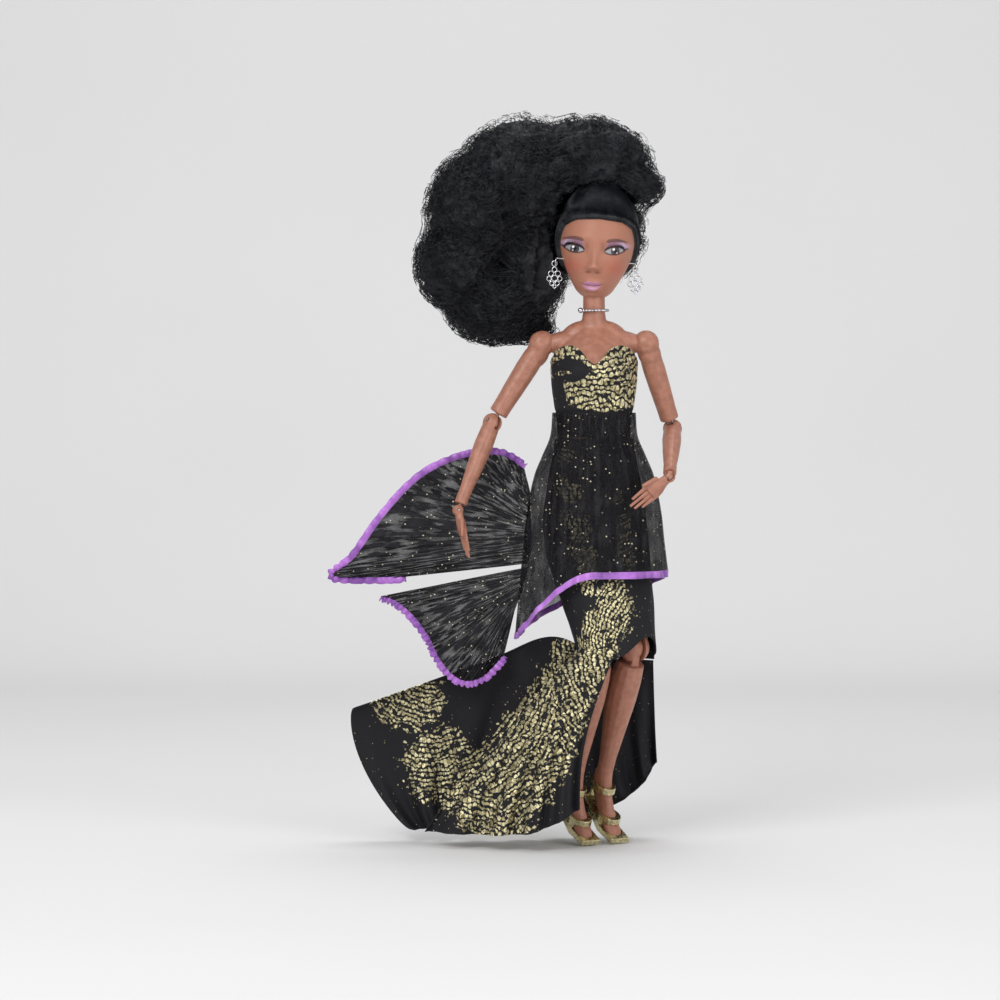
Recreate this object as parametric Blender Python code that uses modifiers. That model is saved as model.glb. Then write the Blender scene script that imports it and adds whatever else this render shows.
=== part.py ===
"""Jointed fashion doll in a fishtail evening gown, made as separate pieces.

Metres, +Z up. The doll faces -Y and the origin is the centre of its waist.
"""
from math import cos, exp, pi, radians, sin

import bmesh
import bpy
from mathutils import Matrix, Vector

MM = 0.001
GAP = 0.3 * MM
OVERRUN = 20.0 * MM

# Torso
TORSO_HEIGHT = 61.0 * MM
TORSO_WIDTH = 37.0 * MM
TORSO_DEPTH = 27.0 * MM
BUST_DEPTH = 5.5 * MM
BUST_SPREAD = 8.6 * MM
BUST_SIZE = 7.0 * MM
BUST_Z = 29.0 * MM
PELVIS_HEIGHT = 44.0 * MM
PELVIS_WIDTH = 41.0 * MM
PELVIS_DEPTH = 29.0 * MM
WAIST_PEG_RADIUS = 5.0 * MM
WAIST_PEG_LENGTH = 16.0 * MM
WAIST_FLANGE_RADIUS = 7.5 * MM
WAIST_FLANGE_THICKNESS = 2.0 * MM

# Arms
SHOULDER_SPACING = 47.0 * MM
SHOULDER_Z = 41.5 * MM
SHOULDER_RADIUS = 6.2 * MM
UPPER_ARM_LENGTH = 42.0 * MM
UPPER_ARM_WIDTH = 10.6 * MM
FOREARM_LENGTH = 43.0 * MM
FOREARM_WIDTH = 8.8 * MM
ELBOW_RADIUS = 4.5 * MM
WRIST_RADIUS = 2.7 * MM
HAND_LENGTH = 22.0 * MM
HAND_WIDTH = 9.5 * MM
HAND_THICKNESS = 4.4 * MM

# Head and neck
HEAD_HEIGHT = 51.0 * MM
HEAD_WIDTH = 33.5 * MM
HEAD_DEPTH = 39.0 * MM
HEAD_RISE = 21.0 * MM
NOSE_LENGTH = 2.6 * MM
NOD_Z = 66.0 * MM
NECK_CAVITY_RADIUS = 6.6 * MM
NECK_CAVITY_DEPTH = 3.0 * MM
HAIR_THICKNESS = 2.2 * MM
HAIRLINE_Z = 97.0 * MM
CURL_LINE_Z = 107.0 * MM
HAIR_WIDTH = 110.0 * MM
HAIR_HEIGHT = 105.0 * MM
HAIR_DEPTH = 52.0 * MM

# Legs
HIP_SPACING = 23.0 * MM
HIP_Z = -38.0 * MM
HIP_RADIUS = 9.8 * MM
HIP_AXLE_RADIUS = 1.6 * MM
HIP_AXLE_LENGTH = 30.0 * MM
THIGH_LENGTH = 60.0 * MM
THIGH_WIDTH = 19.4 * MM
KNEE_SPACING = 17.5 * MM
KNEE_RADIUS = 7.0 * MM
SHIN_LENGTH = 67.0 * MM
SHIN_WIDTH = 14.6 * MM
ANKLE_SPACING = 15.0 * MM
FOOT_HEIGHT = 23.0 * MM
FOOT_LENGTH = 24.0 * MM
FOOT_WIDTH = 8.6 * MM
SOLE_THICKNESS = 1.4 * MM
HEEL_RADIUS = 1.0 * MM

# Gown
CLOTH = 0.8 * MM
BODICE_TOP_Z = 41.0 * MM
BODICE_V_DEPTH = 8.5 * MM
BODICE_BACK_DROP = 9.0 * MM
BODICE_SIDE_DROP = 7.5 * MM
BODICE_FOOT_Z = 1.0 * MM
CLOSURE_WIDTH = 5.0 * MM
GOWN_TOP_Z = -1.0 * MM
GOWN_HIP_FOOT_Z = -66.0 * MM
GOWN_KNEE_FOOT_Z = -100.0 * MM
GOWN_WIDTH = 46.0 * MM
GOWN_DEPTH = 38.0 * MM
OVERSKIRT_TOP_Z = -1.0 * MM
OVERSKIRT_WIDTH = 64.0 * MM
OVERSKIRT_DEPTH = 44.0 * MM
OVERSKIRT_FRONT_Z = -60.0 * MM
OVERSKIRT_LEFT_DROP = 28.0 * MM
OVERSKIRT_BACK_DROP = 12.0 * MM
RIBBON_WIDTH = 3.0 * MM
RIBBON_THICKNESS = 1.2 * MM
FAN_WIDTH = 92.0 * MM
FAN_HEIGHT = 70.0 * MM
FAN_WAVE = 2.2 * MM
FAN_WAVES = 5
TRAIN_WIDTH = 140.0 * MM
TRAIN_HEIGHT = 82.0 * MM
TRAIN_WAVE = 3.0 * MM
TRAIN_FLARE = 9.0 * MM
TRAIN_WAVES = 8

# Jewels
CHOKER_Z = 56.5 * MM
BEAD_RADIUS = 1.15 * MM
BEAD_COUNT = 14
WIRE_RADIUS = 0.35 * MM
LINK_RADIUS = 1.4 * MM
DROP_LENGTH = 9.0 * MM
DROP_WIDTH = 6.4 * MM
DROP_THICKNESS = 0.9 * MM

# Pose of the doll at rest, in degrees
HIP_YAW = 30.0
HIP_BEND = 20.0
KNEE_BEND = 42.0
HEAD_ROLL = 4.0
ARM_POSE = {
    "right": {"swing": -5.0, "lift": 32.0, "turn": 50.0, "bend": -14.0, "twist": -129.3, "hand": 34.7},
    "left": {"swing": 17.0, "lift": -17.0, "turn": -7.0, "bend": -80.0, "twist": 73.0, "hand": 66.0},
}
HIP_BEND_LOW = -10.0
HIP_BEND_HIGH = 45.0

# Peg joints: disc radius, disc thickness, post radius, post length, pin radius, pin length
SHOULDER_PEG = (3.3 * MM, 2.4 * MM, 1.2 * MM, 15.0 * MM, 0.8 * MM, 11.0 * MM)
ELBOW_PEG = (2.5 * MM, 1.9 * MM, 0.95 * MM, 12.0 * MM, 0.6 * MM, 8.0 * MM)
WRIST_PEG = (1.45 * MM, 1.3 * MM, 0.65 * MM, 8.0 * MM, 0.4 * MM, 4.6 * MM)
NECK_PEG = (4.0 * MM, 3.0 * MM, 1.5 * MM, 17.0 * MM, 0.9 * MM, 12.0 * MM)
KNEE_TONGUE_RADIUS = 4.6 * MM
KNEE_TONGUE_THICKNESS = 4.0 * MM
KNEE_PIN_RADIUS = 1.0 * MM
KNEE_PIN_LENGTH = 12.5 * MM

SKIN = ((0.53, 0.25, 0.17), 0.45, 0.0)
BLACK_HAIR = ((0.013, 0.014, 0.018), 0.5, 0.0)
GOLD_CLOTH = ((0.42, 0.36, 0.24), 0.45, 0.6)
BLACK_CLOTH = ((0.010, 0.009, 0.011), 0.8, 0.0)
PURPLE_SATIN = ((0.41, 0.15, 0.52), 0.35, 0.0)
SILVER = ((0.47, 0.48, 0.52), 0.25, 1.0)
GOLD_SHOE = ((0.40, 0.37, 0.20), 0.3, 0.9)
WHITE_PLASTIC = ((0.55, 0.40, 0.32), 0.5, 0.0)

X_AXIS = Vector((1.0, 0.0, 0.0))
Y_AXIS = Vector((0.0, 1.0, 0.0))
Z_AXIS = Vector((0.0, 0.0, 1.0))


# Scene, materials and small helpers

def clear_scene():
    for obj in list(bpy.data.objects):
        bpy.data.objects.remove(obj, do_unlink=True)


def make_collection(name):
    folder = bpy.data.collections.new(name)
    bpy.context.scene.collection.children.link(folder)
    return folder


clear_scene()
DOLL = make_collection("fashion_doll")
CUTTERS = make_collection("cutters")


def finish_of(name, look):
    """Give each sub-part its own material from a colour, roughness and metallic value."""
    colour, roughness, metallic = look
    material = bpy.data.materials.new(name)
    material.use_nodes = True
    shader = material.node_tree.nodes["Principled BSDF"]
    shader.inputs["Base Color"].default_value = (*colour, 1.0)
    shader.inputs["Roughness"].default_value = roughness
    shader.inputs["Metallic"].default_value = metallic
    return material


def add_object(name, mesh, look=None, parent=None, smooth=40.0):
    """Put a mesh in the model, or among the cutters when it has no look."""
    if isinstance(mesh, bmesh.types.BMesh):
        bmesh.ops.recalc_face_normals(mesh, faces=mesh.faces)
        data = bpy.data.meshes.new(name)
        mesh.to_mesh(data)
        mesh.free()
        mesh = data
    obj = bpy.data.objects.new(name, mesh)
    if look is None:
        CUTTERS.objects.link(obj)
        obj.hide_render = True
        obj.display_type = "WIRE"
    else:
        DOLL.objects.link(obj)
        mesh.materials.append(finish_of(name, look))
        mesh.shade_smooth()
        mesh.set_sharp_from_angle(angle=radians(smooth))
    obj.parent = parent
    return obj


def add_frame(name, location=(0.0, 0.0, 0.0), turn=None, parent=None):
    """An empty on a joint, turned by the doll's pose."""
    empty = bpy.data.objects.new(name, None)
    DOLL.objects.link(empty)
    empty.parent = parent
    empty.matrix_local = Matrix.Translation(location) @ (turn or Matrix.Identity(4))
    return empty


def turned(degrees, axis):
    return Matrix.Rotation(radians(degrees), 4, axis)


def boolean(target, other, operation="DIFFERENCE"):
    step = target.modifiers.new(other.name, "BOOLEAN")
    step.operation = operation
    step.solver = "EXACT"
    step.object = other


def rotation_to(direction):
    return Vector(direction).to_track_quat("Z", "Y").to_matrix().to_4x4()


def cylinder_mesh(radius, start, end, segments=16, end_radius=None):
    """A closed cylinder or cone between two points."""
    start = Vector(start)
    end = Vector(end)
    run = end - start
    bm = bmesh.new()
    place = Matrix.Translation((start + end) / 2) @ rotation_to(run)
    bmesh.ops.create_cone(bm, cap_ends=True, segments=segments, radius1=radius,
                          radius2=radius if end_radius is None else end_radius,
                          depth=run.length, matrix=place)
    return bm


def ball_mesh(radius, centre, segments=14, rings=9):
    bm = bmesh.new()
    bmesh.ops.create_uvsphere(bm, u_segments=segments, v_segments=rings, radius=radius)
    bmesh.ops.translate(bm, vec=Vector(centre), verts=bm.verts)
    return bm


def box_mesh(low, high):
    low = Vector(low)
    high = Vector(high)
    bm = bmesh.new()
    bmesh.ops.create_cube(bm, size=1.0)
    bmesh.ops.scale(bm, vec=high - low, verts=bm.verts)
    bmesh.ops.translate(bm, vec=(low + high) / 2, verts=bm.verts)
    return bm


def loft_mesh(rings):
    """Skin a list of rings of equal count and close both ends."""
    bm = bmesh.new()
    rows = [[bm.verts.new(point) for point in ring] for ring in rings]
    for upper, lower in zip(rows, rows[1:]):
        for i in range(len(upper)):
            bm.faces.new((upper[i], upper[i - 1], lower[i - 1], lower[i]))
    bm.faces.new(rows[0])
    bm.faces.new(list(reversed(rows[-1])))
    return bm


def sleeve_mesh(outer, inner):
    """Skin an outer and an inner list of rings into one closed wall."""
    bm = bmesh.new()
    rows = [[bm.verts.new(point) for point in ring] for ring in outer + inner[::-1]]
    for k in range(len(rows)):
        upper = rows[k - 1]
        lower = rows[k]
        for i in range(len(upper)):
            bm.faces.new((upper[i], upper[i - 1], lower[i - 1], lower[i]))
    return bm


def sheet_object(name, place, across, down, thickness, look, parent=None):
    """A cloth sheet: a grid of points place(s, t), given its thickness by Solidify."""
    bm = bmesh.new()
    rows = [[bm.verts.new(place(i / across, k / down)) for i in range(across + 1)] for k in range(down + 1)]
    for upper, lower in zip(rows, rows[1:]):
        for i in range(across):
            bm.faces.new((upper[i], upper[i + 1], lower[i + 1], lower[i]))
    obj = add_object(name, bm, look, parent)
    wall = obj.modifiers.new("thickness", "SOLIDIFY")
    wall.thickness = thickness
    wall.offset = 0.0
    return obj


def carry(obj, frame):
    """Parent a piece that was made in place, without moving it."""
    bpy.context.view_layer.update()
    obj.parent = frame
    obj.matrix_parent_inverse = frame.matrix_world.inverted()


class Form:
    """An oval body along Z: rows of height, half width, half depth and Y shift, all as shares."""

    def __init__(self, row_shares, height, width, depth):
        self.rows = [(row[0] * height, row[1] * width, row[2] * depth, row[3] * depth) for row in row_shares]
        self.rows.sort()

    def at(self, z):
        rows = self.rows
        if z <= rows[0][0]:
            return rows[0][1:]
        for low, high in zip(rows, rows[1:]):
            if z <= high[0]:
                share = (z - low[0]) / (high[0] - low[0])
                return tuple(low[k] + (high[k] - low[k]) * share for k in (1, 2, 3))
        return rows[-1][1:]

    def point(self, angle, z, offset=0.0):
        """Angle 0 is +X and -90 degrees is the front."""
        half_width, half_depth, shift = self.at(z)
        return Vector(((half_width + offset) * cos(angle), shift + (half_depth + offset) * sin(angle), z))

    def ring(self, z, offset=0.0, count=20):
        return [self.point(2 * pi * i / count, z, offset) for i in range(count)]

    def heights(self):
        return [row[0] for row in self.rows]


def smooth_track(points, share):
    """A point on a smooth curve through hand-chosen points."""
    spans = len(points) - 1
    place = min(share * spans, spans - 1e-9)
    k = int(place)
    t = place - k
    before = points[max(k - 1, 0)]
    start = points[k]
    end = points[k + 1]
    after = points[min(k + 2, spans)]
    return tuple(0.5 * (2 * start[j] + (end[j] - before[j]) * t
                        + (2 * before[j] - 5 * start[j] + 4 * end[j] - after[j]) * t * t
                        + (3 * start[j] - before[j] - 3 * end[j] + after[j]) * t ** 3)
                 for j in range(len(start)))


# Peg joint: a post that turns in the nearer piece and a disc that hinges in the further one

def add_peg_joint(name, pin_name, sizes, peg_frame, far_frame, post_direction, hinge_axis, near, far,
                  ball_radius, mouth_direction=Z_AXIS, side_reach=None):
    disc_radius, disc_thickness, post_radius, post_length, pin_radius, pin_length = sizes
    half = hinge_axis * (disc_thickness / 2)
    peg = add_object(name, cylinder_mesh(disc_radius, -half, half, 14), WHITE_PLASTIC, peg_frame)
    post = add_object(name + "_post", cylinder_mesh(post_radius, (0.0, 0.0, 0.0), post_direction * post_length, 8),
                      parent=peg_frame)
    boolean(peg, post, "UNION")
    pin_half = hinge_axis * (pin_length / 2)
    pin_hole = add_object(name + "_pin_hole", cylinder_mesh(pin_radius + GAP, -pin_half * 2, pin_half * 2, 8),
                          parent=far_frame)
    boolean(peg, pin_hole)
    add_object(pin_name, cylinder_mesh(pin_radius, -pin_half, pin_half, 8), SILVER, far_frame)
    bore = add_object(name + "_bore", cylinder_mesh(post_radius + GAP, (0.0, 0.0, 0.0),
                                                    post_direction * (post_length + GAP), 8), parent=peg_frame)
    boolean(near, bore)
    slot_half = disc_thickness / 2 + GAP
    reach = ball_radius * 2
    side_reach = side_reach or reach
    floor = disc_radius + GAP
    side = mouth_direction.cross(hinge_axis)
    low = -hinge_axis * slot_half - side * side_reach - mouth_direction * floor
    high = hinge_axis * slot_half + side * side_reach + mouth_direction * reach
    corners_low = [min(a, b) for a, b in zip(low, high)]
    corners_high = [max(a, b) for a, b in zip(low, high)]
    slot = add_object(name + "_slot", box_mesh(corners_low, corners_high), parent=far_frame)
    boolean(far, slot)
    boolean(far, pin_hole)
    return peg


# Torso

TORSO_SHARES = (
    (0.013, 0.400, 0.400, 0.000), (0.130, 0.420, 0.415, 0.000), (0.260, 0.455, 0.445, -0.010),
    (0.380, 0.480, 0.465, -0.020), (0.500, 0.490, 0.470, -0.020), (0.610, 0.490, 0.430, 0.000),
    (0.690, 0.450, 0.360, 0.020), (0.750, 0.340, 0.290, 0.040), (0.800, 0.200, 0.230, 0.060),
    (0.850, 0.150, 0.205, 0.055), (0.920, 0.135, 0.185, 0.040), (1.000, 0.135, 0.185, 0.035))
PELVIS_SHARES = (
    (-1.000, 0.160, 0.200, 0.000), (-0.930, 0.300, 0.330, 0.010), (-0.800, 0.420, 0.430, 0.015),
    (-0.620, 0.500, 0.490, 0.020), (-0.420, 0.490, 0.485, 0.020), (-0.230, 0.430, 0.430, 0.010),
    (-0.080, 0.370, 0.380, 0.000), (-0.007, 0.360, 0.370, 0.000))
TORSO = Form(TORSO_SHARES, TORSO_HEIGHT, TORSO_WIDTH, TORSO_DEPTH)
PELVIS = Form(PELVIS_SHARES, PELVIS_HEIGHT, PELVIS_WIDTH, PELVIS_DEPTH)


def torso_point(angle, z, offset=0.0):
    """A point on the torso, with the bust swelling forward."""
    point = TORSO.point(angle, z, offset)
    if sin(angle) < 0:
        skin_x = TORSO.point(angle, z).x
        for side in (-1, 1):
            sideways = (skin_x - side * BUST_SPREAD) / BUST_SIZE
            upward = (z - BUST_Z) / BUST_SIZE
            point.y -= BUST_DEPTH * exp(-sideways * sideways - upward * upward) * -sin(angle)
    return point


def torso_mesh(offset=0.0, count=20):
    levels = sorted(set(TORSO.heights() + [BUST_Z, BUST_Z - BUST_SIZE / 2, BUST_Z + BUST_SIZE / 2]))
    return loft_mesh([[torso_point(2 * pi * i / count, z, offset) for i in range(count)] for z in levels])


def build_torso(frames):
    chest = add_object("chest", torso_mesh(), SKIN, frames["chest"])
    pelvis_rings = [PELVIS.ring(z) for z in PELVIS.heights()]
    pelvis = add_object("lower_torso", loft_mesh(pelvis_rings), SKIN, frames["pelvis"])
    foot = (0.0, 0.0, -WAIST_PEG_LENGTH)
    top = (0.0, 0.0, WAIST_PEG_LENGTH)
    peg = add_object("waist_peg", cylinder_mesh(WAIST_PEG_RADIUS, foot, top, 20), WHITE_PLASTIC, frames["pelvis"])
    flange_low = (0.0, 0.0, top[2] - WAIST_FLANGE_THICKNESS)
    flange = add_object("waist_flange", cylinder_mesh(WAIST_FLANGE_RADIUS, flange_low, top, 20),
                        parent=frames["pelvis"])
    boolean(peg, flange, "UNION")
    for target, reach in ((chest, top), (pelvis, foot)):
        bore = add_object(target.name + "_peg_bore",
                          cylinder_mesh(WAIST_PEG_RADIUS + GAP, (0.0, 0.0, 0.0), Vector(reach) * 1.02, 20),
                          parent=frames["pelvis"])
        boolean(target, bore)
    pocket = add_object("flange_pocket",
                        cylinder_mesh(WAIST_FLANGE_RADIUS + GAP, (0.0, 0.0, flange_low[2] - GAP),
                                      (0.0, 0.0, top[2] + GAP), 20), parent=frames["pelvis"])
    boolean(chest, pocket)
    return chest, pelvis


# Arms

UPPER_ARM_SHARES = (
    (0.14, 0.46, 0.46, 0.0), (0.30, 0.48, 0.48, 0.0), (0.55, 0.45, 0.45, 0.0), (0.78, 0.41, 0.41, 0.0))
FOREARM_SHARES = (
    (0.06, 0.46, 0.46, 0.0), (0.25, 0.50, 0.50, 0.0), (0.50, 0.44, 0.44, 0.0), (0.75, 0.35, 0.33, 0.0))
PALM_SHARES = (
    (0.06, 0.22, 0.42, 0.0), (0.16, 0.26, 0.42, 0.0), (0.30, 0.40, 0.46, 0.0), (0.42, 0.46, 0.42, 0.0),
    (0.52, 0.44, 0.36, 0.0))
FINGER_SHARES = ((-0.34, 0.88), (-0.11, 1.00), (0.12, 0.96), (0.34, 0.82))
FINGER_ROOT_SHARE = 0.46
FINGER_WIDTH_SHARE = 0.115
THUMB_ROOT_SHARES = (0.34, 0.22)
THUMB_TIP_SHARES = (0.62, 0.56)


def limb_rings(shares, length, width, depth, count, last_z):
    form = Form([(-row[0], *row[1:]) for row in shares], length, width, depth)
    rings = [form.ring(z, count=count) for z in reversed(form.heights())]
    rings.append(form.ring(last_z, count=count))
    return rings


def build_hand(side, frame, sign):
    rings = limb_rings(PALM_SHARES, HAND_LENGTH, HAND_WIDTH, HAND_THICKNESS, 12,
                       -HAND_LENGTH * PALM_SHARES[-1][0] * 1.01)
    hand = add_object(side + "_hand", loft_mesh(rings[:-1]), SKIN, frame)
    knob = add_object(side + "_hand_knob", ball_mesh(WRIST_RADIUS, (0.0, 0.0, 0.0), 12, 7),
                      parent=frame)
    boolean(hand, knob, "UNION")
    radius = HAND_WIDTH * FINGER_WIDTH_SHARE
    for k, (across, reach) in enumerate(FINGER_SHARES):
        root = (across * HAND_WIDTH * sign, 0.0, -HAND_LENGTH * FINGER_ROOT_SHARE)
        tip = (across * HAND_WIDTH * sign * 0.92, 0.0, -HAND_LENGTH * reach)
        finger = add_object(f"{side}_finger_{k}", cylinder_mesh(radius, root, tip, 6, radius * 0.62), parent=frame)
        boolean(hand, finger, "UNION")
    root = (-THUMB_ROOT_SHARES[0] * HAND_WIDTH * sign, 0.0, -HAND_LENGTH * THUMB_ROOT_SHARES[1])
    tip = (-THUMB_TIP_SHARES[0] * HAND_WIDTH * sign, -HAND_THICKNESS / 2, -HAND_LENGTH * THUMB_TIP_SHARES[1])
    thumb = add_object(side + "_thumb", cylinder_mesh(radius * 1.1, root, tip, 6, radius * 0.7), parent=frame)
    boolean(hand, thumb, "UNION")
    return hand


def build_arm(side, frames, chest):
    sign = -1 if side == "right" else 1
    pose = ARM_POSE[side]
    shoulder = add_frame(side + "_shoulder", (sign * SHOULDER_SPACING / 2, 0.0, SHOULDER_Z),
                         turned(pose["swing"], "X"), frames["chest"])
    upper = add_frame(side + "_upper", turn=turned(pose["lift"], "Y"), parent=shoulder)
    elbow = add_frame(side + "_elbow", (0.0, 0.0, -UPPER_ARM_LENGTH), turned(pose["turn"], "Z"), upper)
    fore = add_frame(side + "_fore", turn=turned(pose["bend"], "X"), parent=elbow)
    wrist = add_frame(side + "_wrist", (0.0, 0.0, -FOREARM_LENGTH), turned(pose["twist"], "Z"), fore)
    palm = add_frame(side + "_palm", turn=turned(pose["hand"], "X"), parent=wrist)
    upper_arm = add_object(side + "_upper_arm",
                           loft_mesh(limb_rings(UPPER_ARM_SHARES, UPPER_ARM_LENGTH, UPPER_ARM_WIDTH,
                                                UPPER_ARM_WIDTH, 14, -UPPER_ARM_LENGTH + ELBOW_RADIUS + GAP)),
                           SKIN, upper)
    cap = add_object(side + "_shoulder_cap", ball_mesh(SHOULDER_RADIUS, (0.0, 0.0, 0.0)), parent=upper)
    boolean(upper_arm, cap, "UNION")
    forearm = add_object(side + "_forearm",
                         loft_mesh(limb_rings(FOREARM_SHARES, FOREARM_LENGTH, FOREARM_WIDTH, FOREARM_WIDTH, 12,
                                              -FOREARM_LENGTH + WRIST_RADIUS + GAP)), SKIN, fore)
    knob = add_object(side + "_elbow_knob", ball_mesh(ELBOW_RADIUS, (0.0, 0.0, 0.0), 14, 8),
                      parent=fore)
    boolean(forearm, knob, "UNION")
    hand = build_hand(side, palm, sign)
    socket = add_object(side + "_shoulder_socket", ball_mesh(SHOULDER_RADIUS + GAP * 1.5, (0.0, 0.0, 0.0)),
                        parent=shoulder)
    boolean(chest, socket)
    inward = X_AXIS * -sign
    add_peg_joint(side + "_shoulder_peg", side + "_shoulder_pin", SHOULDER_PEG, shoulder, upper, inward,
                  Y_AXIS, chest, upper_arm, SHOULDER_RADIUS)
    add_peg_joint(side + "_elbow_peg", side + "_elbow_pin", ELBOW_PEG, elbow, fore, Z_AXIS, X_AXIS,
                  upper_arm, forearm, ELBOW_RADIUS)
    add_peg_joint(side + "_wrist_peg", side + "_wrist_pin", WRIST_PEG, wrist, palm, Z_AXIS, X_AXIS,
                  forearm, hand, WRIST_RADIUS)


# Legs and shoes

THIGH_SHARES = (
    (0.10, 0.50, 0.50, 0.0), (0.25, 0.49, 0.50, 0.0), (0.50, 0.44, 0.46, 0.0), (0.75, 0.38, 0.40, 0.0),
    (0.90, 0.36, 0.38, 0.0), (1.00, 0.34, 0.34, 0.0))
SHIN_SHARES = (
    (0.112, 0.42, 0.44, 0.00), (0.22, 0.47, 0.54, 0.06), (0.38, 0.46, 0.56, 0.10), (0.60, 0.36, 0.42, 0.06),
    (0.82, 0.26, 0.29, 0.02), (0.94, 0.25, 0.29, 0.02))
FOOT_SHARES = (
    (0.00, 0.44, 0.20, 0.03), (0.25, 0.42, 0.26, 0.00), (0.45, 0.40, 0.30, -0.08), (0.65, 0.42, 0.27, -0.26),
    (0.82, 0.50, 0.24, -0.46), (0.96, 0.48, 0.20, -0.66), (1.00, 0.40, 0.15, -0.72))
ANKLE_SHARE = 0.925


def leg_ring(shares_row, length, width, depth, shift, count, offset=0.0):
    """A ring of a leg whose centre drifts sideways from the upper joint to the lower one."""
    drop = shares_row[0]
    return [Vector((shift * drop + (shares_row[1] * width + offset) * cos(2 * pi * i / count),
                    shares_row[3] * depth + (shares_row[2] * depth + offset) * sin(2 * pi * i / count),
                    -drop * length)) for i in range(count)]


def foot_rings(offset):
    rings = []
    for drop, wide, deep, forward in FOOT_SHARES:
        z = -drop * FOOT_HEIGHT
        rings.append([Vector(((wide * FOOT_WIDTH + offset) * cos(2 * pi * i / 12),
                              forward * FOOT_LENGTH + (deep * FOOT_LENGTH + offset) * sin(2 * pi * i / 12),
                              z)) for i in range(12)])
    rings[-1] = [point + Vector((0.0, 0.0, -offset)) for point in rings[-1]]
    rings[0] = [point + Vector((0.0, 0.0, offset)) for point in rings[0]]
    return rings


def build_shoe(side, frame):
    """A heeled sandal: a sloping sole, a slim heel and two straps, cut to the foot."""
    front = -0.98 * FOOT_LENGTH
    ball_y = -0.45 * FOOT_LENGTH
    heel_y = 0.26 * FOOT_LENGTH
    ground = -FOOT_HEIGHT - SOLE_THICKNESS
    heel_z = -0.62 * FOOT_HEIGHT
    lift = SOLE_THICKNESS * 1.6
    outline = ((front, ground), (ball_y, ground), (heel_y, heel_z - lift), (heel_y, heel_z),
               (ball_y, ground + lift * 1.5), (front, ground + lift))
    half = FOOT_WIDTH * 0.56
    rings = [[Vector((x, y, z)) for y, z in outline] for x in (-half, half)]
    shoe = add_object(side + "_shoe", loft_mesh(rings), GOLD_SHOE, frame)
    heel = add_object(side + "_heel", cylinder_mesh(HEEL_RADIUS * 2.2, (0.0, heel_y - HEEL_RADIUS * 2.4, heel_z - lift),
                                                    (0.0, heel_y - HEEL_RADIUS * 2.0, ground), 12, HEEL_RADIUS),
                      parent=frame)
    boolean(shoe, heel, "UNION")
    for k, (drop, forward, tall) in enumerate(((0.80, -0.42, 0.20), (0.30, -0.02, 0.14))):
        low = -drop * FOOT_HEIGHT - tall * FOOT_HEIGHT / 2
        reach = FOOT_WIDTH * 0.60
        depth = FOOT_LENGTH * (0.33 if k else 0.30)
        band = [[Vector((reach * cos(2 * pi * i / 14), forward * FOOT_LENGTH + depth * sin(2 * pi * i / 14), z))
                 for i in range(14)] for z in (low, low + tall * FOOT_HEIGHT)]
        strap = add_object(f"{side}_strap_{k}", loft_mesh(band), parent=frame)
        boolean(shoe, strap, "UNION")
    counter = add_object(side + "_counter", box_mesh((-HEEL_RADIUS * 1.6, heel_y - HEEL_RADIUS, heel_z - lift / 2),
                                                     (HEEL_RADIUS * 1.6, heel_y + HEEL_RADIUS * 1.4,
                                                      -0.22 * FOOT_HEIGHT)), parent=frame)
    boolean(shoe, counter, "UNION")
    room = add_object(side + "_foot_room", loft_mesh(foot_rings(GAP)), parent=frame)
    boolean(shoe, room)
    return shoe


def thigh_sweep_mesh():
    """The hull of the thigh's whole sweep, cut out of the pelvis."""
    reach = HIP_RADIUS + 2 * GAP
    ball = ball_mesh(reach, (0.0, 0.0, 0.0), segments=20, rings=12)
    points = [vert.co.copy() for vert in ball.verts]
    ball.free()
    for angle in (HIP_BEND_LOW, HIP_BEND_HIGH):
        matrix = turned(-angle, "X")
        for corner in range(20):
            turn = 2 * pi * corner / 20
            points.append(matrix @ Vector((reach * cos(turn), reach * sin(turn), -THIGH_LENGTH / 2)))
    sweep = bmesh.new()
    for point in points:
        sweep.verts.new(point)
    bmesh.ops.convex_hull(sweep, input=sweep.verts)
    loose = [vert for vert in sweep.verts if not vert.link_faces]
    bmesh.ops.delete(sweep, geom=loose, context="VERTS")
    return sweep


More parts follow.
